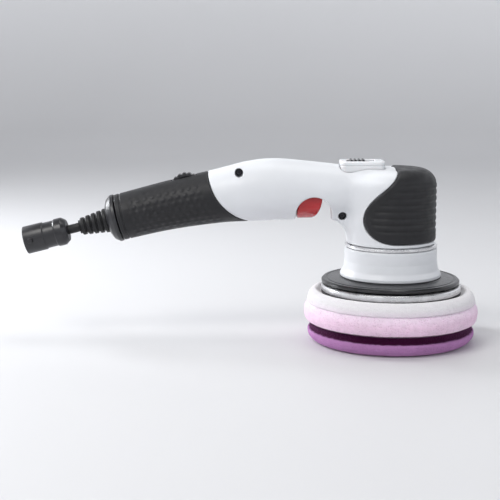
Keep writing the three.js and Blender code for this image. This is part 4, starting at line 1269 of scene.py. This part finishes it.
def bearing(name, bore, balls, place=None):
    """Deep-groove ball bearing: raced rings, two shields and caged balls."""
    low, high = span(name + "_outer")
    radius = (high[0] - low[0]) / 2
    bottom, top = low[2], high[2]
    inner_edge = bore + 0.3 * (radius - bore)
    outer_edge = radius - 0.26 * (radius - bore)
    middle, centre = (inner_edge + outer_edge) / 2, (bottom + top) / 2
    size = (outer_edge - inner_edge) / 2 - 0.25  # of a ball
    lip = inner_edge + 0.35  # where the shields end
    outline = [
        (radius, bottom, 0.5), (radius, top, 0.5), (outer_edge, top, 0.2), (outer_edge, top - 0.25, 0.1),
        (lip, top - 0.25, 0.1), (lip, top - 0.6, 0.1), (outer_edge, top - 0.6, 0.2),
        (outer_edge, centre + 0.9 * size, 0), (outer_edge + 0.2, centre, 2),
        (outer_edge, centre - 0.9 * size, 0), (outer_edge, bottom + 0.6, 0.2), (lip, bottom + 0.6, 0.1),
        (lip, bottom + 0.25, 0.1), (outer_edge, bottom + 0.25, 0.1), (outer_edge, bottom, 0.2),
    ]
    turned(name + "_outer", outline, 96, place)
    outline = [
        (bore, bottom, 0.4), (inner_edge, bottom, 0.2), (inner_edge, centre - 0.8 * size, 0),
        (inner_edge - 0.2, centre, 2), (inner_edge, centre + 0.8 * size, 0), (inner_edge, top, 0.2),
        (bore, top, 0.4),
    ]
    turned(name + "_inner", outline, 72, place)
    half = 0.4 * size
    outline = [(middle + half * i, centre + half * j, 0.1) for i, j in ((-1, -1), (1, -1), (1, 1), (-1, 1))]
    cage = turned(name + "_balls", outline, 96, place)
    spots = [(x, y, centre) for x, y in round_of(balls, middle)]
    cut_away(cage, *[ball(spot, size + 0.06, place) for spot in spots])
    made = bmesh.new()
    made.from_mesh(cage.data)
    for spot in spots:
        made.from_mesh(ball(spot, size, place))
    made.to_mesh(cage.data)
    made.free()
    shade(cage.data)


def motor_bearings():
    bearing("upper_bearing", 4, 7)
    bearing("lower_bearing", 5, 7)


def pad_bearing():
    bearing("pad_bearing", 6, 8, pad_place())


def sector(inner, outer, start, end, steps=10):
    """Outline of a ring's sector between two angles in degrees."""
    return arc((0, 0), outer, start, end, steps) + arc((0, 0), inner, end, start, steps)


def motor_can():
    radius, bottom, top = round_span("motor_can")
    crown = top - 9
    outline = [
        (radius - 1.6, bottom, 0.4), (radius, bottom, 0.4), (radius, crown, 2.5),
        (15.6, crown, 1), (14.2, crown + 1.4, 0.8), (14.2, top, 0.8), (5.5, top, 0.3),
        (5.5, top - 1.2, 0.2), (11.15, top - 1.2, 0.2), (11.15, crown - 1.6, 0.3),
        (radius - 1.6, crown - 1.6, 1.5),
    ]
    turned("motor_can", outline)


def stator_core():
    """Laminated ring with nine teeth, each ending in a shoe."""
    outer, bottom, top = round_span("stator_core")
    bore, yoke = 18.6, 25
    tooth_half, shoe_half, shoe_depth = 2.9, 5.2, 1.4

    def field(x, y, z):
        reach = np.hypot(x, y)
        shape = between(reach, yoke, outer)
        for way_x, way_y in round_of(TEETH, 1):
            along, across = x * way_x + y * way_y, y * way_x - x * way_y
            tooth = np.maximum(np.abs(across) - tooth_half, between(along, bore - 0.5, yoke + 0.5))
            face = np.maximum(np.abs(across) - shoe_half, -along)
            shoe = np.maximum(between(reach, bore, bore + shoe_depth), face)
            shape = smooth_min(shape, smooth_min(tooth, shoe, 0.8), 0.8)
        return smooth_max(shape, between(z, bottom, top), 0.5)

    moulded("stator_core", field, 0.6)


def stator_windings():
    """Loops of wire round each tooth, in three layers of up to three turns."""
    _, bottom, top = round_span("stator_core")
    turns = [(3.75, 1.2), (4.95, 2.4), (6.0, 3.5)]  # half width, and rise past the core's ends
    coils = []
    for i in range(TEETH):
        turn = Matrix.Rotation(2 * math.pi * i / TEETH, 4, "Z")
        for distance, count in ((20.9, 2), (22.2, 3), (23.5, 3)):
            for side, rise in turns[:count]:
                low, high = bottom - rise, top + rise
                loop = [(-side, low, 2.2), (side, low, 2.2), (side, high, 2.2), (-side, high, 2.2)]
                points = [tuple(turn @ Vector((distance, a, b))) for a, b in rounded(loop, 5)]
                coils.append(wire_mesh(points, 0.62, True))
    joined("stator_windings", coils, 80)


def rotor():
    radius, bottom, top = round_span("rotor_core")
    outline = [(5.3, bottom, 0.4), (radius, bottom, 0.4), (radius, top, 0.4), (5.3, top, 0.4)]
    turned("rotor_core", outline, 96, None, 35)
    radius, bottom, top = round_span("rotor_magnets")
    poles = []
    for i in range(6):
        poles.append(prism(sector(15.4, radius, 60 * i + 1.5, 60 * i + 58.5), bottom, top, None, 0.35))
    joined("rotor_magnets", poles)


def motor_shaft():
    """Shaft with two clip grooves, stepped down near its top."""
    radius, bottom, top = round_span("motor_shaft")
    outline = [
        (0, bottom, 0), (radius, bottom, 0.6), (radius, 80.4, 0), (radius - 0.4, 80.5, 0),
        (radius - 0.4, 81.4, 0), (radius, 81.5, 0), (radius, 125.5, 0.3), (3.9, 126.5, 0.3),
        (3.9, top - 1.4, 0), (3.5, top - 1.3, 0), (3.5, top - 0.7, 0), (3.9, top - 0.6, 0),
        (3.6, top, 0.2), (0, top, 0),
    ]
    turned("motor_shaft", outline, 48)


# ---------------------------------------------------------------- Eccentric drive
def cooling_fan():
    """Disc and hub with eleven curved blades."""
    radius, bottom, top = round_span("cooling_fan")
    blades, hub_radius = 11, 12

    def field(x, y, z):
        reach = np.hypot(x, y)
        disc = smooth_max(reach - radius, between(z, bottom, bottom + 1.2), 0.4)
        hub = smooth_max(reach - hub_radius, between(z, bottom, top), 0.6)
        phase = np.arctan2(y, x) * blades / (2 * math.pi) + 0.035 * (reach - hub_radius)
        off = np.abs(phase - np.round(phase)) * 2 * math.pi * reach / blades
        limits = np.maximum(reach - radius + 0.6, np.maximum(10 - reach, bottom - z))
        blade = smooth_max(smooth_max(off - 0.75, limits, 0.5), z - top + 0.6, 0.5)
        wheel = smooth_min(smooth_min(disc, hub, 0.8), blade, 0.8)
        return np.maximum(wheel, 9.4 - reach)

    moulded("cooling_fan", field, 0.5)


def eccentric_hub():
    """Flange on the motor shaft with three holes and, below it, an offset cup for the pad's bearing."""
    radius, bottom, top = round_span("eccentric_hub")
    flange, thickness = 70.0, 3

    def field(x, y, z):
        reach = np.hypot(x, y)
        shape = smooth_max(reach - radius, between(z, flange, flange + thickness), 0.6)
        shape = smooth_min(shape, smooth_max(reach - 9, between(z, flange, top), 0.5), 1.2)
        shape = carve(shape, np.maximum(reach - 5.1, flange + 1.2 - z), 0.3)
        offset = np.hypot(x, y - PAD_Y)
        cup = smooth_max(offset - 17.4, between(z, bottom - 0.3, flange + 0.3), 0.5)
        shape = smooth_min(shape, cup, 1.0)
        shape = carve(shape, np.maximum(offset - 14.15, z - flange), 0.3)
        for degrees in (-145, -90, -35):
            spot_x, spot_y = polar(26, degrees)
            shape = carve(shape, np.hypot(x - spot_x, y - spot_y) - 2.6, 0.4)
        return shape

    moulded("eccentric_hub", field, 0.55)


def counterweight():
    """Half ring opposite the pad's offset, with two screw sockets and a deep hole in its underside."""
    low, high = span("counterweight")
    outer, bottom, top = high[1], low[2], high[2]

    def field(x, y, z):
        reach = np.hypot(x, y)
        shape = smooth_max(reach - outer, 19.4 - reach, 0.8)
        shape = smooth_max(shape, between(z, bottom, top), 0.8)
        shape = smooth_max(shape, low[1] - y, 0.8)
        for degrees in (40, 140):
            spot_x, spot_y = polar(25.5, degrees)
            socket = np.maximum(np.hypot(x - spot_x, y - spot_y) - 3, z - bottom - 3)
            shape = carve(shape, socket, 0.3)
        return carve(shape, np.maximum(np.hypot(x, y - 25.5) - 2, z - top + 1), 0.3)

    moulded("counterweight", field, 0.55)


def pad_spindle():
    """Spindle with two flats, a shoulder and a stub up into the bearing, bored for the bolt."""
    low, high = span("pad_spindle")
    bottom, top = low[2], high[2]
    shoulder = 55.6

    def field(x, y, z):
        reach = np.hypot(x, y - PAD_Y)
        shape = smooth_max(reach - 11, between(z, bottom, shoulder), 0.5)
        shape = smooth_max(shape, np.abs(x) - high[0], 0.4)
        shape = smooth_min(shape, np.maximum(reach - 7.6, np.abs(z - shoulder) - 1), 0.3)
        shape = smooth_min(shape, smooth_max(reach - 5.9, between(z, 122 - top, top), 0.6), 0.3)
        return carve(shape, np.maximum(reach - 4.2, z - 66), 0.4)

    moulded("pad_spindle", field, 0.4)


def plate_bolt():
    """Threaded bolt with a hexagon socket, up through the plate into the spindle."""
    _, bottom, top = round_span("plate_bolt")
    outline = rounded([
        (0, bottom, 0), (5.4, bottom, 0.3), (6.2, bottom + 0.8, 0.3), (6.2, bottom + 3.4, 0.4),
        (3.9, bottom + 3.4, 0),
    ])
    for i in range(14):
        start = bottom + 4.2 + 1.15 * i
        outline += [(3.9, start), (3.35, start + 0.55)]
    outline += [(3, top), (0, top)]
    mesh = turned_mesh("plate_bolt_fine", outline, 48, pad_place(), 30)
    bolt = stand_for(object_of("plate_bolt_fine", mesh), "plate_bolt")
    socket = [(0, bottom - 1), (3.3, bottom - 1), (3.3, bottom + 2.1), (0, bottom + 2.6)]
    cut_away(bolt, turned_mesh("socket", socket, 6, pad_place(), 20))
    shade(bolt.data, 30)


# ---------------------------------------------------------------- Switches and electronics
def trigger_module():
    """Switch block with a lid and six solder tags."""
    (x0, y0, z0), (x1, y1, z1) = span("trigger_module")
    parts = [block((x0, y0, z0), (x1, y1, z1 - 3.4), 0.5, 1.5)]
    parts.append(block((x0 + 1, y0 + 1, z1 - 3.2), (x1 - 1, y1 - 1, z1 - 1.4), 0.3, 1))
    for x in (4, 11, 18):
        for y in (-6, 4):
            parts.append(block((x0 + x, y, z1 - 1.6), (x0 + x + 2.6, y + 1, z1), 0.1))
    joined("trigger_module", parts)


def power_switch():
    """Slide switch with a slot in its top and a seam round it."""
    low, high = span("power_switch")

    def field(x, y, z):
        shape = box_field(x, y, z, low, high, 0.8)
        shape = carve(shape, box_field(x, y, z, (-34, -2.8, 138), (-17.5, 2.8, 150), 0.5), 0.3)
        return carve(shape, np.maximum(np.abs(z - 134.6) - 0.3, -(shape + 0.4)), 0.15)

    moulded("power_switch", field, 0.45)


def dial_sensor():
    """Turn sensor with a hole for the dial's axle."""
    low, high = span("dial_sensor")
    axle_x, _, axle_z = middle_of("speed_dial")

    def field(x, y, z):
        shape = box_field(x, y, z, low, high, 0.7)
        return carve(shape, np.maximum(np.hypot(x - axle_x, z - axle_z) - 2.3, y - 7), 0.3)

    moulded("dial_sensor", field, 0.45)


def controller_board():
    """Board with six power transistors below and four taller parts above."""
    low, high = span("controller_board")
    underside, topside = low[2] - 0.02, high[2] + 0.02
    parts = [block(low, high, 0.15, 1.5)]
    for i in range(3):
        for y in (-10, 1):
            x = -106 + 4.6 * i
            parts.append(block((x, y, underside - 2.2), (x + 3.4, y + 8, underside), 0.2))
    for x, y, width, depth, height in (
        (-99, -9, 5, 7, 1.6), (-99, 2, 5, 6, 3.2), (-140, -12, 3, 9, 2.4), (-140, 3, 3, 9, 2.4),
    ):
        parts.append(block((x, y, topside), (x + width, y + depth, high[2] + height), 0.25))
    joined("controller_board", parts)


def heat_sink():
    """Comb of five fins standing on a base."""
    (x0, y0, z0), (x1, y1, z1) = span("heat_sink")
    fins, fin, base = 5, 1.6, 129
    pitch = (y1 - y0 - fin) / (fins - 1)
    comb = [(y0, z0), (y1, z0)]
    for i in reversed(range(fins)):
        y = y0 + pitch * i
        comb += [(y + fin, base)] if i < fins - 1 else []
        comb += [(y + fin, z1), (y, z1)]
        comb += [(y, base)] if i else []
    along_x = Matrix(((0, 0, 1, 0), (1, 0, 0, 0), (0, 1, 0, 0), (0, 0, 0, 1)))
    joined("heat_sink", [prism(comb, x0, x1, along_x, 0.25)])


def filter_capacitor():
    """Can lying along X, with a crimped neck and a rolled end."""
    low, high = span("filter_capacitor")
    length, radius = high[0] - low[0], (high[2] - low[2]) / 2
    outline = [
        (0, 0, 0), (radius - 0.4, 0, 0.6), (radius, 0.8, 0.6), (radius, 2.2, 0.5), (radius - 0.6, 2.9, 0.5),
        (radius, 3.6, 0.5), (radius, length, 0.8), (radius - 1, length, 0.4),
        (radius - 1.2, length - 0.4, 0.3), (0, length - 0.4, 0),
    ]
    place = Matrix.Translation(Vector((low[0], 0, (low[2] + high[2]) / 2)) * METRE)
    turned("filter_capacitor", outline, 64, place @ Matrix.Rotation(math.radians(90), 4, "Y"))


def motor_cable():
    """Three wires twisted round one route."""
    route = catmull([(-94, 12, 128.6), (-84, 14, 137), (-66, 14, 141), (-48, 12, 136), (-37, 7, 124)], 200)
    wires = []
    for i in range(3):
        twist = [2 * math.pi * (i / 3 + 1.6 * t) for t in np.linspace(0, 1, len(route))]
        offset = np.array([(0, 0.95 * math.cos(a), 0.95 * math.sin(a)) for a in twist])
        wires.append(wire_mesh(route + offset, 0.8, False, 12))
    joined("motor_cable", wires, 80)


# ---------------------------------------------------------------- Stage
def area_light(name, spot, target, size, power, color=(1, 1, 1)):
    light = bpy.data.lights.new(name, "AREA")
    light.shape = "RECTANGLE"
    light.size, light.size_y = size
    light.energy = power
    light.color = color
    holder = bpy.data.objects.new(name, light)
    holder.location = spot
    holder.rotation_euler = (Vector(target) - Vector(spot)).to_track_quat("-Z", "Y").to_euler()
    bpy.context.scene.collection.objects.link(holder)


def stage():
    floor = Finish("pale_floor")
    base = floor.blend(floor.noise(300, 3), (0.62, 0.62, 0.63), (0.65, 0.65, 0.66))
    floor.set(Base_Color=base, Roughness=0.55)
    floor.bump(floor.noise(3, 3), 0.05)
    glow = floor.remap(floor.level(), 0.05, 0.9, 0, 0.55)
    floor.set(Emission_Color=(0.94, 0.96, 1), Emission_Strength=glow)
    bend = [(1600 + 800 * math.sin(a), 800 - 800 * math.cos(a)) for a in np.radians(np.linspace(0, 90, 16))]
    profile = [(0, 0), *bend, (2400, 2200), (2500, 2200), (2500, -100), (0, -100)]
    mesh = turned_mesh("floor", profile, 96, None, 70)
    mesh.materials.append(floor.material)
    object_of("floor", mesh)

    centre = (-0.12, 0, 0.08)
    area_light("key", (-0.75, -0.75, 1.15), centre, (0.7, 0.5), 8.5, (1, 0.985, 0.96))
    area_light("fill", (1.1, -1.0, 0.55), centre, (0.9, 0.9), 1.2, (0.93, 0.96, 1))
    area_light("rim", (-1.05, 0.45, 0.5), centre, (0.3, 0.6), 12, (0.95, 0.97, 1))
    area_light("top", (0.0, 0.15, 1.3), centre, (0.8, 0.5), 5)
    world = bpy.data.worlds.new("studio")
    world.use_nodes = True
    world.node_tree.nodes["Background"].inputs[0].default_value = (0.86, 0.88, 0.92, 1)
    world.node_tree.nodes["Background"].inputs[1].default_value = 0.25
    bpy.context.scene.world = world
    bpy.context.scene.view_settings.view_transform = "Standard"

    low, high = cad_box
    middle = (Vector(low) + Vector(high)) / 2
    elevation = math.radians(9.5)
    distance = 1.1
    camera = bpy.data.cameras.new("camera")
    camera.lens = 92
    holder = bpy.data.objects.new("camera", camera)
    holder.location = middle + Vector((0, -math.cos(elevation), math.sin(elevation))) * distance
    holder.rotation_euler = (math.radians(90) - elevation, 0, 0)
    bpy.context.scene.collection.objects.link(holder)
    bpy.context.scene.camera = holder


# ---------------------------------------------------------------- Assembly
for side in (-1, 1):
    casing_half(side)
for build in (
    rear_grip, palm_grip, neck_collar, bearing_carrier, skirt, backing_plate,
    foam_body, foam_face, loop_disc, plate_cushion,
    trigger, trigger_pin, trigger_spring, switch_bezel, power_slider, speed_dial, screws,
    tail_cap, cord_boot, cord_clamp, supply_lead, inlet_plug,
    motor_can, stator_core, stator_windings, rotor, motor_shaft, motor_bearings,
    cooling_fan, eccentric_hub, counterweight, pad_bearing, pad_spindle, plate_bolt,
    trigger_module, power_switch, dial_sensor,
    controller_board, heat_sink, filter_capacitor, motor_cable,
):
    build()
for name, node in frame["nodes"].items():
    if not node.hide_render:
        node.data.materials.clear()
        node.data.materials.append(material(SLOT_OF[name]))
stage()
